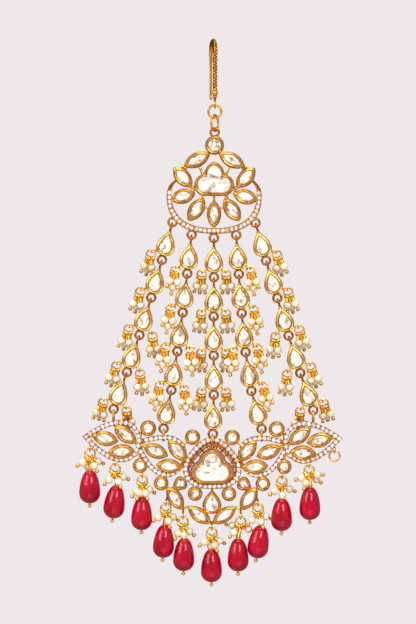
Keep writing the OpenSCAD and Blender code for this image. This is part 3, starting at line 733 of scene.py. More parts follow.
# %% Hook
HOOK_GAP, HOOK_TURN = 6.4, 12.0              # between the legs' middles; turn about the vertical
BEND = HOOK_GAP / 2 - 0.7                    # depth of the bend's centre under the inside of the bend
KNOB, TAIL, CURL = -15.7, -17.2, 0.42        # heights of the knob and the wire's end, radius of the curl
GRAINS_FROM, GRAINS_OUT = KNOB + 1.7, 0.42   # the lowest grain, and how far they sit in front
GRAINS_OVER = 1.35                           # how far they go over the bend, in radians


def hook_bar(rows=200, sides=20):
    """Front leg: radius = 0.64 (1 + 0.12 cos 2(a - twist) + 0.05 cos(rib z)), 1 turn in 5.2 mm."""
    z = np.linspace(-BEND + 0.2, KNOB + 1.2, rows)[:, None]
    a = np.linspace(0, 2 * np.pi, sides, endpoint=False)[None]
    rib = np.cos(2 * np.pi * z / 0.62)
    r = 0.64 * (1 + 0.12 * np.cos(2 * (a - 2 * np.pi * z / 5.2)) + 0.05 * rib)
    rings = np.stack([r * np.cos(a), r * np.sin(a), z + 0 * a], -1)
    return skin(rings, 0.12 + 0.1 * rib[:, 0], ((0, 0, z[0, 0]), (0, 0, z[-1, 0])))


def hook_grains(step=0.5):
    """Two staggered rows of grains up the face and over the bend: y, z follow the wire, x alternates."""
    leg, r = -BEND - GRAINS_FROM, HOOK_GAP / 2 + GRAINS_OUT
    s = np.arange(0, leg + r * GRAINS_OVER, step)
    over = np.maximum(s - leg, 0) / r
    spots = np.stack([0.24 * (-1) ** np.arange(len(s)), -r * np.cos(over),
                      GRAINS_FROM + np.minimum(s, leg) + r * np.sin(over)], -1)
    sizes = np.interp(s, [0, leg, s[-1]], [0.34, 0.34, 0.22])
    places = [shift(*p) @ np.diag([k, k, k, 1]) for p, k in zip(spots, sizes)]
    return copies(ball(1.0, 9, 6, 0.8), places)


def hook_wire():
    """Bend and rear leg: a half circle, then straight down, then a curl; the wire thins towards its end."""
    a = np.linspace(np.pi, 0, 40)
    bend = np.stack([0 * a, HOOK_GAP / 2 * np.cos(a), -BEND + HOOK_GAP / 2 * np.sin(a)], -1)
    down = np.linspace(-BEND - 0.4, TAIL + 0.6, 40)
    leg = np.stack([0 * down, 0 * down + HOOK_GAP / 2, down], -1)
    c = np.linspace(0, 300, 22) * np.pi / 180
    curl = np.stack([0 * c, HOOK_GAP / 2 - CURL + CURL * np.cos(c), TAIL + 0.3 - CURL * np.sin(c)], -1)[1:]
    path = np.concatenate([[[0, -HOOK_GAP / 2, -BEND - 0.9]], bend, leg, curl])
    at = np.arange(len(path))
    r = np.interp(at, [0, 30, 41, 55, 80, len(path) - 1], [0.68, 0.66, 0.6, 0.42, 0.36, 0.3])
    return tube(path, r, 12, np.interp(at, [0, 26, 40], [0.12, 0.2, 0.7]))


print("hook:", len(hook_grains()["v"]) // len(ball(1.0, 9, 6)["v"]), "grains on its face")

# %% [markdown]
# A turned knob with a row of grains ends the bar, and an eye under it carries two jump rings.
# The knob could be stacked from spheres, but one profile turned round its axis has no seams.
# The first ring is seen face on. The second is seen nearly edge on, as in the picture.

# %% Knob and jump rings
EYE, TOP_RING, DROP_RING, LOOP = (1.0, 0.32), (2.0, 0.35), (2.45, 0.35), (1.28, 0.37)
SECOND_RING_TURN = -26
KNOB_ROWS = [(0.5, 1.35, .3), (0.72, 1.25, .8), (0.75, 1.02, .8), (0.55, 0.86, .1), (0.74, 0.6, .5),
             (0.92, 0.15, .9), (0.9, -0.25, .9), (0.68, -0.7, .4), (0.56, -0.9, .1), (0.66, -1.05, .8),
             (0.58, -1.3, .5), (0.44, -1.7, .4), (0.36, -2.5, .4), (0.3, -2.8, .4)]
HOOK_ANGLE = math.radians(HOOK_TURN)
HANG = shift(HOOK_GAP / 2 * math.sin(HOOK_ANGLE), -HOOK_GAP / 2 * math.cos(HOOK_ANGLE))
EYE_Z = KNOB - 3.6
TOP_Z = EYE_Z - link_drop(EYE, TOP_RING)
DROP_Z = TOP_Z - link_drop(TOP_RING, DROP_RING)
MED = HANG @ shift(z=DROP_Z - link_drop(DROP_RING, LOOP))

knob = lathe([(r, KNOB + z) for r, z, _ in KNOB_ROWS], 20, [row[2] for row in KNOB_ROWS])
knob_beads = copies(ball(0.17, 7, 4, 0.95), [turn(2, a) @ shift(0.9, 0, KNOB) for a in range(0, 360, 36)])
hook_turn = turn(2, HOOK_TURN)
hook = heap(copies(heap(hook_bar(), knob, knob_beads), [hook_turn @ shift(0, -HOOK_GAP / 2, 0)]),
            copies(heap(hook_wire(), hook_grains()), [hook_turn]),
            copies(ring(EYE, 28, 10), [HANG @ shift(0, 0, EYE_Z) @ EDGE_ON]))
make("hook_wire_and_bar", hook, old_gold, ["hair_hook"], "hook")
top_at = HANG @ shift(0, 0, TOP_Z) @ FACE_ON
second_at = HANG @ shift(0, 0, DROP_Z) @ turn(2, SECOND_RING_TURN) @ EDGE_ON
top, second = copies(ring(TOP_RING, 44, 12), [top_at]), copies(ring(DROP_RING, 44, 12), [second_at])
make("top_jump_ring", top, old_gold, ["top_ring"], "link")
make("second_jump_ring", second, old_gold, ["drop_ring"])

# %% [markdown]
# ## Medallion
# Nine petals stand round the cloud stone, a small round setting sits on top, and a crescent of
# small stones closes the lower edge. Grains and short bars of solder hold them together. A bent
# torus would keep its width, and the crescent thins out towards its horns, so its section is
# carried along the arc and narrowed there.

# %% Crescent
CRESCENT = (14.85, 11.72, 7.6)               # half width, depth below and height above its middle
CRESCENT_W, CRESCENT_Z = 1.8, -20


def crescent_edge(t, inset):
    """Square-ish oval: x = a c and z = b s, where c and s are cos t and sin t to the power 1/1.2."""
    c, s = (np.sign(k) * np.abs(k) ** (1 / 1.2) for k in (np.cos(t), np.sin(t)))
    wide, low, high = CRESCENT
    tall = np.where(s < 0, low - inset, high - inset / 2)
    return np.stack([(wide - inset) * c, tall * s + CRESCENT_Z], -1)


def crescent(n=140):
    """Channel along an open arc: at each angle the section runs from the outer to the inner edge."""
    degrees = np.linspace(-222, 42, n)
    width = CRESCENT_W * (0.45 + 0.55 * np.clip((132 - np.abs(degrees + 90)) / 60, 0, 1))
    rings = np.stack(channel_rows(lambda i: crescent_edge(np.radians(degrees), i), width), 1)
    return skin(rings, 0.6, (rings[0].mean(0), rings[-1].mean(0)))


def crescent_line(start, end, inset):
    """Line along the crescent between two angles, that far in from its outer edge."""
    return crescent_edge(np.radians(np.linspace(start, end, 160)), inset)


stones_at, grains_at = set_stones([crescent_line(-190, 10, 0.9)], CRESCENT_W, 1.42, False)
horn_lines = [crescent_line(a, b, 0.5) for a, b in ((-220, -191), (11, 40))]
horns = [beaded(line, 0.72, 0.34, False, 0.45, 0.25) for line in horn_lines]
print("crescent stones:", len(stones_at))

# %% [markdown]
# Only the right half is placed, and the left half is its mirror image. Each petal is given by
# its middle, length, width and tilt, and each bar of solder by its two ends and its width.

# %% Medallion
PETALS = [(5.45, -8.65, 9.3, 4.6, -63), (9.85, -14.1, 8.4, 4.8, 43), (9.75, -20.1, 8.1, 4.7, -75),
          (5.6, -24.2, 8.7, 4.8, -35)]
LOW_PETAL, TOP_ROUND, CLOUD_Z = (0, -25.6, 8.7, 4.5, 0), (0, -4.06, 2.97), -16.52
LOOPS = [(-12.97, -28.15), (-6.97, -32.0), (0, -33.0), (6.97, -32.0), (12.97, -28.15)]
MED_JOINS = [(3.3, -14, 4.7, -10.6, 1.2), (8.6, -11.6, 10.2, -10.6, 1.3), (6.2, -17.6, 8.2, -16.6, 1.5),
             (6.3, -17.8, 7.0, -19.2, 1.4), (3.6, -19.4, 4.2, -21.2, 1.5), (1.7, -23.7, 3.6, -23.7, 1.0),
             (11.6, -14.4, 12.6, -15.6, 1.0)]


def join(x1, z1, x2, z2, w):
    """Solder join: a rod with a slight waist, r = 0.4 w (0.85 + 0.15 s^2) sqrt(1 - s^8)."""
    s = np.sin(np.linspace(-1.52, 1.52, 11))
    middle = np.array([(x1 + x2) / 2, -0.1, (z1 + z2) / 2])
    reach = np.array([(x2 - x1) / 2, 0, (z2 - z1) / 2])
    r = w * 0.4 * (0.85 + 0.15 * s ** 2) * np.sqrt(1 - s ** 8)
    return tube(middle + s[:, None] * reach, r, 10, 0.75)


def cloud_of(n=16):
    """Outline of the medallion's cloud as a function of its inset."""
    return lambda i: cloud(i, n) + [0, CLOUD_Z]


med_metal = heap(
    pair(heap(*[setting(petal_of(p)) for p in PETALS], *[join(*j) for j in MED_JOINS])),
    setting(petal_of(LOW_PETAL)), join(0, -19.5, 0, -22, 1.1),
    setting(round_of(*TOP_ROUND)), setting(cloud_of(), CLOUD_CUP),
    crescent(), copies(GRAIN, grains_at), *horns,
    copies(ring(LOOP, 30, 10, 0.4), [FACE_ON] + [shift(x, 0, z) @ FACE_ON for x, z in LOOPS]),
    copies(ball(0.5), [shift(x, 0, -27.2) for x in (12.4, -12.4)]))
make("medallion_settings", copies(med_metal, [MED]), gold, ["medallion_frame"])
for name, node, glass in (
        ("petal", "petal_stones", heap(both(coarse, PETALS, 10, 10), stone(coarse(LOW_PETAL), 31))),
        ("cloud", "cloud_stone", stone(cloud_of(8), 6, CLOUD_HEIGHTS, fine=1.5)),
        ("round", "round_stone", stone(round_of(*TOP_ROUND, 12), 4))):
    make(f"medallion_{name}_glass", copies(glass, [MED]), polki, ["medallion_" + node],
         soft=False)
make("crescent_chips", copies(SMALL_CHIP, [MED @ m for m in stones_at]), chips, soft=False)

# %% [markdown]
# ## Strands
# Each strand is five pear settings, linked ring in ring. The pears hang from an edge-on bail,
# end in a face-on loop, and carry eyes at their flanks for the pearl clusters. A simulation could
# let them fall into place, but the picture shows how they lie: five tilts a strand repeat it.

# %% Links
PITCH, PEAR_W, PEAR_L = 12.25, 5.8, 8.0
BAIL, SIDE_EYE, CLUSTER_RING = (1.12, 0.36), (0.9, 0.28), (1.4, 0.28)
# For each strand: the tilts of its five links, and at which sides each carries a cluster.
STRANDS = [([-15.2, -15.5, -17, -18.2, -19.4], [[-1], [-1], [-1, 1], [-1, 1], [-1, 1]]),
           ([-6, -6.2, -7.5, -8.3, -11], [[-1], [-1], [-1, 1], [-1, 1], []]),
           ([0.5, 0, 0.5, 0.5, -1], [[-1, 1], [-1, 1], [-1, 1], [-1, 1], []]),
           ([4.2, 4.6, 6.2, 8.9, 15.5], [[1], [1], [-1, 1], [1], []]),
           ([16, 17.2, 17, 17.8, 19.8], [[1], [1], [-1, 1], [-1, 1], [-1, 1]])]
BAIL_DROP = link_drop(LOOP, BAIL)
PEAR_MID = BAIL_DROP + BAIL[0] + BAIL[1] - 0.12 + PEAR_L * 2 / 3
EYE_ANGLE, EYE_REACH = 35.0, PEAR_W / 2 + SIDE_EYE[0] - 0.1


def ring_at(s, n):
    """Middle of the loop that carries link n of strand s: the sum of the tilted steps before it."""
    tilt = np.radians(STRANDS[s][0][:n])
    return LOOPS[s][0] + PITCH * np.sin(tilt).sum(), LOOPS[s][1] - PITCH * np.cos(tilt).sum()


def link_at(s, n):
    """Place of link n of strand s: at its loop, tilted."""
    x, z = ring_at(s, n)
    return MED @ shift(x, 0, z) @ turn(1, -STRANDS[s][0][n])


STRAND_PEAR = (0, 0, PEAR_L, PEAR_W, 0)
bail = copies(ring(BAIL, 28, 10, 0.3), [shift(0, 0, -BAIL_DROP) @ EDGE_ON])
loop = copies(ring(LOOP, 30, 10, 0.3), [shift(0, 0, -PITCH) @ FACE_ON])
neck = copies(lathe([(0.3, 0.5), (0.55, 0.3), (0.62, 0.0), (0.5, -0.4), (0.3, -0.6)], 12, 0.7),
              [shift(0, 0, -BAIL_DROP - BAIL[0] - 0.55)])
cup = copies(setting(pear_of(STRAND_PEAR), PEAR_CUP, PEAR_BACK), [shift(0, 0, -PEAR_MID)])
LINK = heap(bail, loop, neck, cup)
SIDE = copies(ring(SIDE_EYE, 22, 8), [shift(EYE_REACH)])
print("a link is", round(PITCH + LOOP[0] + LOOP[1], 1), "mm long, from loop to loop", PITCH)

# %% [markdown]
# ## Pearl clusters
# Each pearl is threaded on a wire that is wound round itself above the pearl and carries a
# small gold ball below it. The winding is a helix, made by the same function as every other
# wire, and the third pearl of a cluster hangs behind.

# %% Pins and pearls
PEARL_R, NECK, LONGER = 1.22, 1.6, 1.35
PEARL_AT = NECK + PEARL_R + 0.15
BALL_AT = PEARL_AT + PEARL_R + 0.6 + 0.13


def winding(start, end, r, wire, turns, steps=10):
    """Helix: x = r cos a, y = r sin a, z from start to end as a grows by the given turns."""
    a = np.linspace(0, 2 * np.pi * turns, int(turns * steps))
    z = np.linspace(start, end, len(a))
    return tube(np.stack([r * np.cos(a), r * np.sin(a), z], -1), wire, 5, 0.8)


def rod(length, radius, sides, lip):
    """Straight wire from 0 down to that length."""
    return tube([(0, 0, 0), (0, 0, -length / 2), (0, 0, -length)], radius, sides, lip)


def pin(longer=0.0):
    """Wound wire, an eye at its top, the straight wire, a cap and the end ball."""
    low = BALL_AT + longer
    cap = lathe([(0.2, 0.12), (0.42, 0.02), (0.46, -0.1), (0.3, -0.2)], 10, 0.8)
    return heap(winding(-0.35, -NECK - longer, 0.44, 0.24, 3 + longer * 2),
                copies(ring((0.46, 0.18), 12, 6, 0.8), [turn(2, 25) @ EDGE_ON, turn(2, -25) @ EDGE_ON]),
                tube([(0, 0, -0.3), (0, 0, -low / 2), (0, 0, -low)], 0.15, 5, 0.5),
                copies(cap, [shift(0, 0, -NECK - longer)]),
                copies(ball(0.65, 12, 7, 1), [shift(0, 0, -low)]))


def coil(size, spread, count, wire):
    """Turns of wire round the lower part of a ring, square to its run, spread by +- that many degrees."""
    angles = np.linspace(-spread, spread, count)
    one = ring((size[1] + wire, wire), 12, 6, 0.9)
    return copies(one, [turn(1, a) @ shift(0, 0, -size[0]) @ EDGE_ON for a in angles])


PIN, LONG_PIN, SMALL_COIL = pin(), pin(LONGER), coil(CLUSTER_RING, 48, 6, 0.24)
PEARL = copies(ball(PEARL_R, 18, 11), [shift(0, 0, -PEARL_AT) @ np.diag([1, 1, 0.97, 1])])
LONG_PEARL = copies(PEARL, [shift(0, 0, -LONGER)])
print("a pin is", round(BALL_AT + 0.65, 1), "mm long")

# %% [markdown]
# A cluster's ring hangs in the eye at a pear's flank. Two pins hang in the ring side by side
# and a longer one behind them. The rings of a strand are all turned by much the same angle,
# because each lies against the next pear.

# %% Strands
CLUSTER_LEANS, LAST_LEAN = [16, -24, 25, -26, 16], 27
PINS_AT = [shift(k * 0.7, 0, -1.22) @ turn(1, -k * 11.5) for k in (-1, 1)]
BACK_PIN_AT = shift(0, 0.1, -1.4) @ turn(0, 20)


def cluster_at(s, n, k):
    """Middle of a cluster's ring: it hangs from the outer wire of a side eye, nearly upright."""
    tilts = STRANDS[s][0]
    swing = k * (6 + max(0, k * tilts[min(n + 1, 4)]) / 2)
    lean = LAST_LEAN if n == 4 else CLUSTER_LEANS[s]
    reach, a = EYE_REACH + SIDE_EYE[0], math.radians(EYE_ANGLE)
    return (link_at(s, n) @ shift(k * reach * math.cos(a), 0, -PEAR_MID - reach * math.sin(a))
            @ turn(1, tilts[n] - swing) @ shift(0, 0, SIDE_EYE[1] + CLUSTER_RING[1] + GAP)
            @ turn(0, lean) @ shift(0, 0, -CLUSTER_RING[0]))


for s in range(5):
    tag = f"strand_{s + 1}"
    places = [link_at(s, n) for n in range(5)]
    sides = [(n, k) for n in range(5) for k in STRANDS[s][1][n]]
    eyes = [places[n] @ shift(0, 0, -PEAR_MID) @ turn(1, EYE_ANGLE if k > 0 else 180 - EYE_ANGLE)
            for n, k in sides]
    spots = [cluster_at(s, n, k) for n, k in sides]
    pins = [m @ p for m in spots for p in PINS_AT]
    backs = [m @ BACK_PIN_AT for m in spots]
    glass = [copies(stone(pear_of(STRAND_PEAR, 14), 50 + 5 * s + n, PEAR_HEIGHTS, 0.86, 0.45),
                    [places[n] @ shift(0, 0, -PEAR_MID)]) for n in range(5)]
    rings = copies(ring(CLUSTER_RING, 22, 7), [m @ FACE_ON for m in spots])
    wires = heap(rings, copies(SMALL_COIL, spots), copies(PIN, pins), copies(LONG_PIN, backs))
    beads = heap(copies(PEARL, pins), copies(LONG_PEARL, backs))
    make(tag + "_pear_settings", heap(copies(LINK, places), copies(SIDE, eyes)), gold,
         [tag + "_settings"])
    make(tag + "_pear_glass", heap(*glass), polki, [tag + "_stones"], soft=False)
    make(tag + "_wound_wires", wires, gold, [tag + "_cluster_wires"])
    make(tag + "_pearl_beads", beads, pearl_finish, [tag + "_pearls"])

# %% [markdown]
# ## Base plate
# Two leaves at each side and a band round the middle are edged with small stones. The rims run
# into each other, as soldered metal does, and nothing is cut with a Boolean. Where two of them
# cross, the stones of the one behind give way.

# %% Rims of the base
BASE_Z = ring_at(2, 5)[1] - 10.2
BASE = MED @ shift(0, 0, BASE_Z)
RIM_W, RIM_LINE = 1.6, 0.8
OUTER, INNER = (28.5, 7.75, 18.4, 13.3, 83.5), (14.0, 3.0, 17.2, 13.2, 66)
BAND_X, BAND_Z = (8.1, -0.42, -0.17, 0.15), (0.41, 7.37, 0.43, -0.06, 0.3)
outer_of, inner_of = (pear_of(p, 60) for p in (OUTER, INNER))


def band_of(inset, n=60):
    """Round-cornered triangle: its stones' line is x = sum a_k sin kt, z = b_0 + sum b_k cos kt."""
    t = -2 * np.pi * np.arange(n)[:, None] / n
    k, k0 = np.arange(1, len(BAND_X) + 1), np.arange(len(BAND_Z))
    line = np.stack([np.sin(k * t) @ BAND_X, np.cos(k0 * t) @ BAND_Z], -1)
    along = np.stack([(k * np.cos(k * t)) @ BAND_X, (-k0 * np.sin(k0 * t)) @ BAND_Z], -1)
    out = np.stack([-along[:, 1], along[:, 0]], -1) / np.linalg.norm(along, axis=1)[:, None]
    return line + (RIM_LINE - inset) * out


flip = np.array([-1, 1])
outer_line, inner_line = outer_of(RIM_LINE), inner_of(RIM_LINE)
lines = [band_of(RIM_LINE), outer_line, outer_line * flip, inner_line, inner_line * flip]
stones_at, grains_at = set_stones(lines, RIM_W)
rims = heap(channel(band_of, RIM_W), pair(heap(channel(outer_of, RIM_W), channel(inner_of, RIM_W))))
print("rim stones:", len(stones_at))

# %% [markdown]
# Between the cloud and its band lies a lattice of granulated wire. It is made of short rods
# from the band to the nearest place on the cloud, two beaded lines along both edges, and
# granules in the space that is left. A grid with a Wireframe modifier would be quicker, but
# wouldn't follow the two curves.

# %% Lattice
BASE_CLOUD_Z = -2.05
LATTICE_ENDS = [3, 6, 9, 12, 15, 18, 21, 39, 42, 45, 48, 51, 54, 57]


def base_cloud(inset, n=16):
    """Outline of the base's cloud as a function of its inset."""
    return cloud(inset, n, WIDE_ARCH, WIDE_LOBE) + [0, BASE_CLOUD_Z]


ends, cloud_edge = band_of(1.5)[LATTICE_ENDS], base_cloud(-0.2, 60)
near = cloud_edge[np.linalg.norm(cloud_edge[None] - ends[:, None], axis=2).argmin(1)]
bars = [tube(facing(np.linspace(p, q, 4), 0.1), 0.26, 7, 0.35) for p, q in zip(ends, near)]
between, _ = walk(band_of(2.5), 0.68)
between = between[clear_of(between, cloud_edge, 0.55)]
beading = [beaded(band_of(1.85), 0.66, 0.37), beaded(base_cloud(-0.4), 0.66, 0.36)]
granules = copies(ball(0.36, 8, 5, 0.35), [shift(x, -0.3, z) for x, z in between])
print("lattice:", len(bars), "rods and", len(between), "granules")

# %% [markdown]
# Ten drops and a spare ring hang from eyes under the plate, each on a short post that is
# soldered to the rim, and five eyes on top take the strands. One table says all about a drop.

# %% Eyes
DROP_EYE, SIDE_EYE_AT = (0.8, 0.28), (38.2, 5.4)
# For each drop: x and z of its eye, the post's run to the rim, the bead's sideways offset and
# tilt, the lean of its two front pins, and (lean, turn) of the others.
DROPS = [(-38.2, 5.45, (0.3, 2), 0, 0, (-62, 70), [(-20, -55), (36, -40)]),
         (-30.3, 0.75, (0.2, 1.6), 0.6, -7, (-48, 68), [(30, -45)]),
         (-21.8, -2.8, (0, 1), 0, -1, (-44, 60), [(-30, 50), (30, -48)]),
         (-14.4, -11.4, (0.35, 1.8), -0.2, -3.5, (-60, 62), [(24, -50)]),
         (-9, -15.5, (0, 2.6), 0.5, -1.5, (-35, 53), [(10, -60)]),
         (0, -18.9, (0, 1.8), 0, 0, (-59, 66), [(-9, -60), (30, -45)]),
         (9, -15.5, (0, 2.6), -0.7, 0, (-50, 72), [(-95, -25)]),
         (14.4, -11.4, (-0.35, 1.8), 1.1, -8, (-46, 70), [(30, -50)]),
         (21.8, -2.8, (0, 1), 0, 0, (-58, 70), [(8, -60)]),
         (30.3, 0.75, (-0.2, 1.6), 0.3, 0, (-72, 60), [(-30, 48), (92, -30)])]


def post(x, z, dx, dz):
    """Wire from a drop's eye up to where it is soldered."""
    d = np.array([dx, 0, dz])
    a, b = np.array([x, 0, z]) + d / np.linalg.norm(d) * 0.75, np.array([x, 0, z]) + d
    return tube([a, (a + b) / 2, b], 0.32, 8, 0.5)


eyes = [shift(x, 0, z) @ EDGE_ON for x, z in [d[:2] for d in DROPS] + [SIDE_EYE_AT]]
posts = [post(*d[:2], *d[2]) for d in DROPS] + [post(*SIDE_EYE_AT, -0.4, 2.2)]
strand_eyes = []
for s in range(5):
    x, z = ring_at(s, 5)
    z -= BASE_Z + BAIL_DROP
    foot = 0.3 if s == 2 else 1.5
    strand_eyes += [copies(ring(BAIL, 28, 10), [shift(x, 0, z) @ EDGE_ON]),
                    copies(rod(foot, 0.42, 8, 0.5), [shift(x, 0, z - 0.9)])]
print("eyes:", len(eyes), "below and", len(strand_eyes) // 2, "above")

# %% [markdown]
# Inside the rims stand petals, rounds and the cloud, and below them a fan of petals and pears.
# The settings are the same cups as on the medallion, soldered edge to edge.

# %% Settings of the base
LEAF_PETALS = [(33.5, 8.5, 8.4, 4.7, 77), (27.2, 9.7, 8.7, 4.6, 54), (28.4, 4.4, 8.5, 4.8, 95),
               (17.7, 4.7, 8.4, 4.6, 68), (10.9, 5.0, 8.7, 4.6, 41), (13.4, 0.0, 8.4, 4.6, 85)]
FAN_PETALS = [(11.5, -10.0, 8.7, 4.6, 35), (3.9, -15.2, 9.0, 4.4, 54)]
ROUNDS = [(20.1, 11.8, 2.5), (6.2, 9.1, 2.4), (22.5, 0.1, 2.3), (15.9, -5.3, 2.3), (5.3, -8.5, 2.3)]
SMALL_PEAR, CENTRE_PEAR = (9.6, -5.2, 5.0, 4.4, 125), (0, -12.3, 7.5, 6.0, 0)
BASE_JOINS = [(37.0, 9.2, 39.0, 9.5, 1.5), (30.0, 11.8, 31.0, 13.2, 1.2), (24.2, 7.5, 22.6, 6.6, 1.2),
              (21.0, 6.1, 23.2, 7.0, 1.5), (22.4, 11.2, 22.6, 7.0, 1.3), (22.4, 5.0, 22.5, 1.6, 1.5),
              (22.9, 4.4, 24.6, 3.0, 1.4), (6.3, 8.9, 9.5, 6.5, 1.2), (7.2, -12.5, 9.0, -13.3, 1.1),
              (13.7, -7.1, 14.3, -6.6, 1.1), (10.8, -7.0, 10.6, -8.6, 1.2), (6.6, -3.0, 7.4, -4.4, 1.4)]
FLEUR = [(0, 7.2), (-0.6, 6.35), (0.6, 6.35), (0, 5.6)]
SOLDER_AT = [(-4.95, 7.35), (4.95, 7.35)]

base_metal = heap(
    pair(heap(*[setting(petal_of(p)) for p in LEAF_PETALS + FAN_PETALS],
              *[setting(round_of(*b)) for b in ROUNDS], setting(pear_of(SMALL_PEAR)),
              *[join(*j) for j in BASE_JOINS])),
    copies(ball(0.52, 12, 7, 0.3), [shift(x, -0.25, z) for x, z in FLEUR]),
    copies(ball(0.6, 12, 7, 0.9), [shift(x, -0.55, z) for x, z in SOLDER_AT]),
    join(0, -6.3, 0, -7.9, 1.2), setting(pear_of(CENTRE_PEAR)), setting(base_cloud, CLOUD_CUP),
    *beading, *bars, granules, copies(ring(DROP_EYE, 20, 8), eyes), *posts, *strand_eyes)
make("base_settings", copies(base_metal, [BASE]), gold, ["base_frame"])
make("base_rims", copies(heap(rims, copies(GRAIN, grains_at)), [BASE]), gold)
make("base_rim_chips", copies(CHIP, [BASE @ m for m in stones_at]), chips, soft=False)

# %% [markdown]
# Every setting's outline gives its stone too. The left half could be a mirror image again, but
# two stones cut by hand are never alike, so each side has facets of its own.

# %% Stones of the base
for name, node, glass in (
        ("leaf", "leaf_stones", both(coarse, LEAF_PETALS, 100)),
        ("fan", "fan_stones", both(coarse, FAN_PETALS, 200)),
        ("round", "round_stones", both(lambda b: round_of(*b, 12), ROUNDS, 300)),
        ("pear", "pear_stones", heap(both(lambda p: pear_of(p, 14), [SMALL_PEAR], 400),
                                     stone(pear_of(CENTRE_PEAR, 14), 450))),
        ("cloud", "cloud_stone", stone(lambda i: base_cloud(i, 8), 5, CLOUD_HEIGHTS, fine=1.9))):
    make(f"base_{name}_glass", copies(glass, [BASE]), polki, ["base_" + node], soft=False)
SIDE_RING = (1.65, 0.27)
side_at = BASE @ shift(SIDE_EYE_AT[0], 0, SIDE_EYE_AT[1] - link_drop(DROP_EYE, SIDE_RING)) @ FACE_ON
make("side_jump_ring", copies(ring(SIDE_RING, 40, 10), [side_at]), gold, ["base_side_ring"])

# %% [markdown]
# ## Red drops
# Under each eye hangs a ring with three or four pearls, and below it a red drop between a
# collar ball and an end ball. A drop is a turned shape: its shoulder widens as a sine, and its
# lower third is round. A stretched sphere would be too thin at the shoulder.

# %% Red bead
BEAD_H, BEAD_R, BEAD_TOP_R = 10.0, 3.3, 1.6
WIDE = 0.68                                  # where it is widest, as a share of its length
SHOULDER = 0.66                              # the lower, the fuller the shoulder


def red_bead():
    """Radius along the drop: top + (widest - top) sin(90 deg s)^shoulder, then a quarter ellipse."""
    s = np.linspace(0, 1, 18) ** 1.4
    widening = BEAD_TOP_R + (BEAD_R - BEAD_TOP_R) * np.sin(s * np.pi / 2) ** SHOULDER
    shoulder = np.stack([widening, -0.35 - (BEAD_H * WIDE - 0.35) * s], -1)
    edge = np.array([[0.4, 0.1], [BEAD_TOP_R - 0.45, 0.0], [BEAD_TOP_R - 0.12, -0.1]])
    a = np.radians(np.linspace(6, 84, 14))
    low = np.stack([BEAD_R * np.cos(a), -BEAD_H * WIDE - BEAD_H * (1 - WIDE) * np.sin(a)], -1)
    return lathe(np.concatenate([edge, shoulder, low, [[0.35, -BEAD_H + 0.02]]]), 48, 0.5)


RED_BEAD = red_bead()
print("a red bead is", np.ptp(RED_BEAD["v"], axis=0).round(1), "mm")

# %% [markdown]
# The bead hangs on a pin of its own. That pin's wire is wound round itself between the ring
# and the collar ball, and a turned cap sits on the bead.

# %% Drops
BEAD_RING, COLLAR_Z, BEAD_Z, PIN_TURN = (1.5, 0.28), -4.75, -0.9, 28
END = BEAD_H - BEAD_Z + 0.7                  # from the collar ball down to the end ball

cap = lathe([(0.3, 0.3), (1.0, 0.1), (1.25, -0.12), (1.1, -0.25)], 18, 0.7)
cap = copies(cap, [shift(0, 0, BEAD_Z + 0.2)])
end_ball = copies(ball(0.6, 14, 9, 1), [shift(0, 0, -END)])
bead_pin = heap(ball(0.8, 16, 9), cap, end_ball, rod(END, 0.2, 6, 0.4))
wound = heap(winding(-0.3, COLLAR_Z + BEAD_RING[0] + 0.5, 0.46, 0.22, 6),
             tube([(0, 0, 0), (0, 0, -1.5), (0, 0, -3.2)], 0.25, 6, 0.3))
bead_ring = heap(copies(ring(BEAD_RING, 30, 9), [FACE_ON]), coil(BEAD_RING, 62, 9, 0.23))
metal, pearls = [], []
for d, (x, z, _, side, tilt, leans, others) in enumerate(DROPS):
    here = BASE @ shift(x, 0, z - link_drop(DROP_EYE, BEAD_RING))
    foot = here @ shift(0, 0, -BEAD_RING[0])
    collar = here @ shift(side, 0, COLLAR_Z) @ turn(1, -tilt)
    lean = math.degrees(math.atan2(-side, -COLLAR_Z - BEAD_RING[0]))
    pins = [foot @ turn(2, t) @ turn(1, -a) for a, t in [(a, PIN_TURN) for a in leans] + others]
    metal += [copies(bead_ring, [here]), copies(PIN, pins), copies(wound, [foot @ turn(1, lean)]),
              copies(bead_pin, [collar])]
    pearls.append(copies(PEARL, pins))
    make(f"red_drop_{d + 1}", copies(RED_BEAD, [collar @ shift(0, 0, BEAD_Z)]), crimson,
         [f"drop_bead_{d + 1}"])
make("drop_wound_wires", heap(*metal), gold, ["drop_wires"])
make("drop_pearl_beads", heap(*pearls), pearl_finish, ["drop_pearls"])

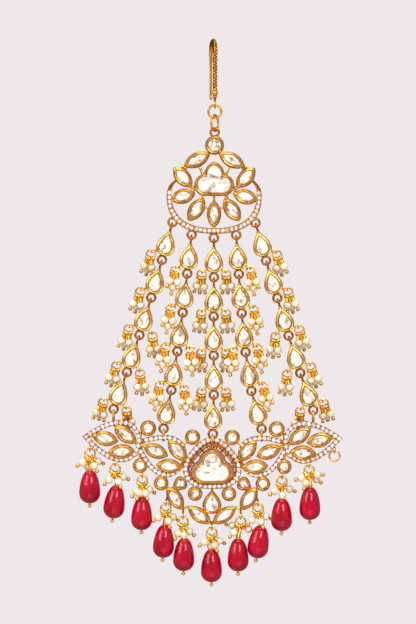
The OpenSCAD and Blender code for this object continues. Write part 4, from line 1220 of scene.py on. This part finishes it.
# %% [markdown]
# ## Studio
# The product shot has no floor and no shadow: the piece hangs in an even, pale lilac. The world
# gives that colour to the camera from every side. To the metal it is a light tent that goes dim
# behind the piece, so that wires and bezels get the dark edges that make gold look like gold. Only
# straight behind is there some light again, for the flat backs. A picture of a studio could stand
# round the piece too, but two ranges over the heading do the same and need no file.

# %% Tent
AIR = "#EEE8EA"
world = bpy.data.worlds.new("studio_air")
bpy.context.scene.world = world
world.use_nodes = True
heading = add(world, "SeparateXYZ", Vector=(add(world, "TexCoord"), "Generated"))
front, behind = (
    add(world, "MapRange", Value=(heading, "Y"), From_Min=a, From_Max=b, To_Min=low, To_Max=high)
    for a, b, low, high in ((0.1, 0.75, 0.61, 0.16), (0.82, 0.97, 0.0, 0.6)))
tent = add(world, "Math", {"operation": "MAXIMUM"}, _0=(front, "Result"), _1=(behind, "Result"))
seen = add(world, "LightPath")
level = add(world, "Mix", {"data_type": "FLOAT"}, _0=(seen, "Is Camera Ray"), _2=(tent, 0), _3=1.0)
feed(world, world.node_tree.nodes["Background"], Color=rgb(AIR), Strength=(level, 0))
bpy.context.scene.view_settings.view_transform = "Standard"
print("air", AIR)

# %% [markdown]
# Two soft boxes light the front from the upper left and right, a third one shines from above,
# and a dim one from below. Small lamps would leave a hard dot on every bead, and broad ones
# leave a soft streak, as in the photograph.

# %% Lights
MIDDLE = (0, 0, -0.09)


def soft_box(name, place, size, power):
    """Square area light at place, in metres, turned towards the middle of the piece."""
    data = bpy.data.lights.new(name, "AREA")
    data.size, data.energy = size, power
    obj = bpy.data.objects.new(name, data)
    bpy.context.scene.collection.objects.link(obj)
    obj.location = place
    obj.rotation_euler = (Vector(MIDDLE) - Vector(place)).to_track_quat("-Z", "Y").to_euler()
    print(name, power, "W from", size, "m")


soft_box("box_left", (-0.8, -0.65, 0.45), 0.6, 6.5)
soft_box("box_right", (0.42, -0.95, 0.5), 0.42, 5.8)
soft_box("box_top", (0.0, -0.15, 0.9), 0.6, 5.0)
soft_box("box_low", (0.1, -0.9, -0.75), 1.1, 3.4)
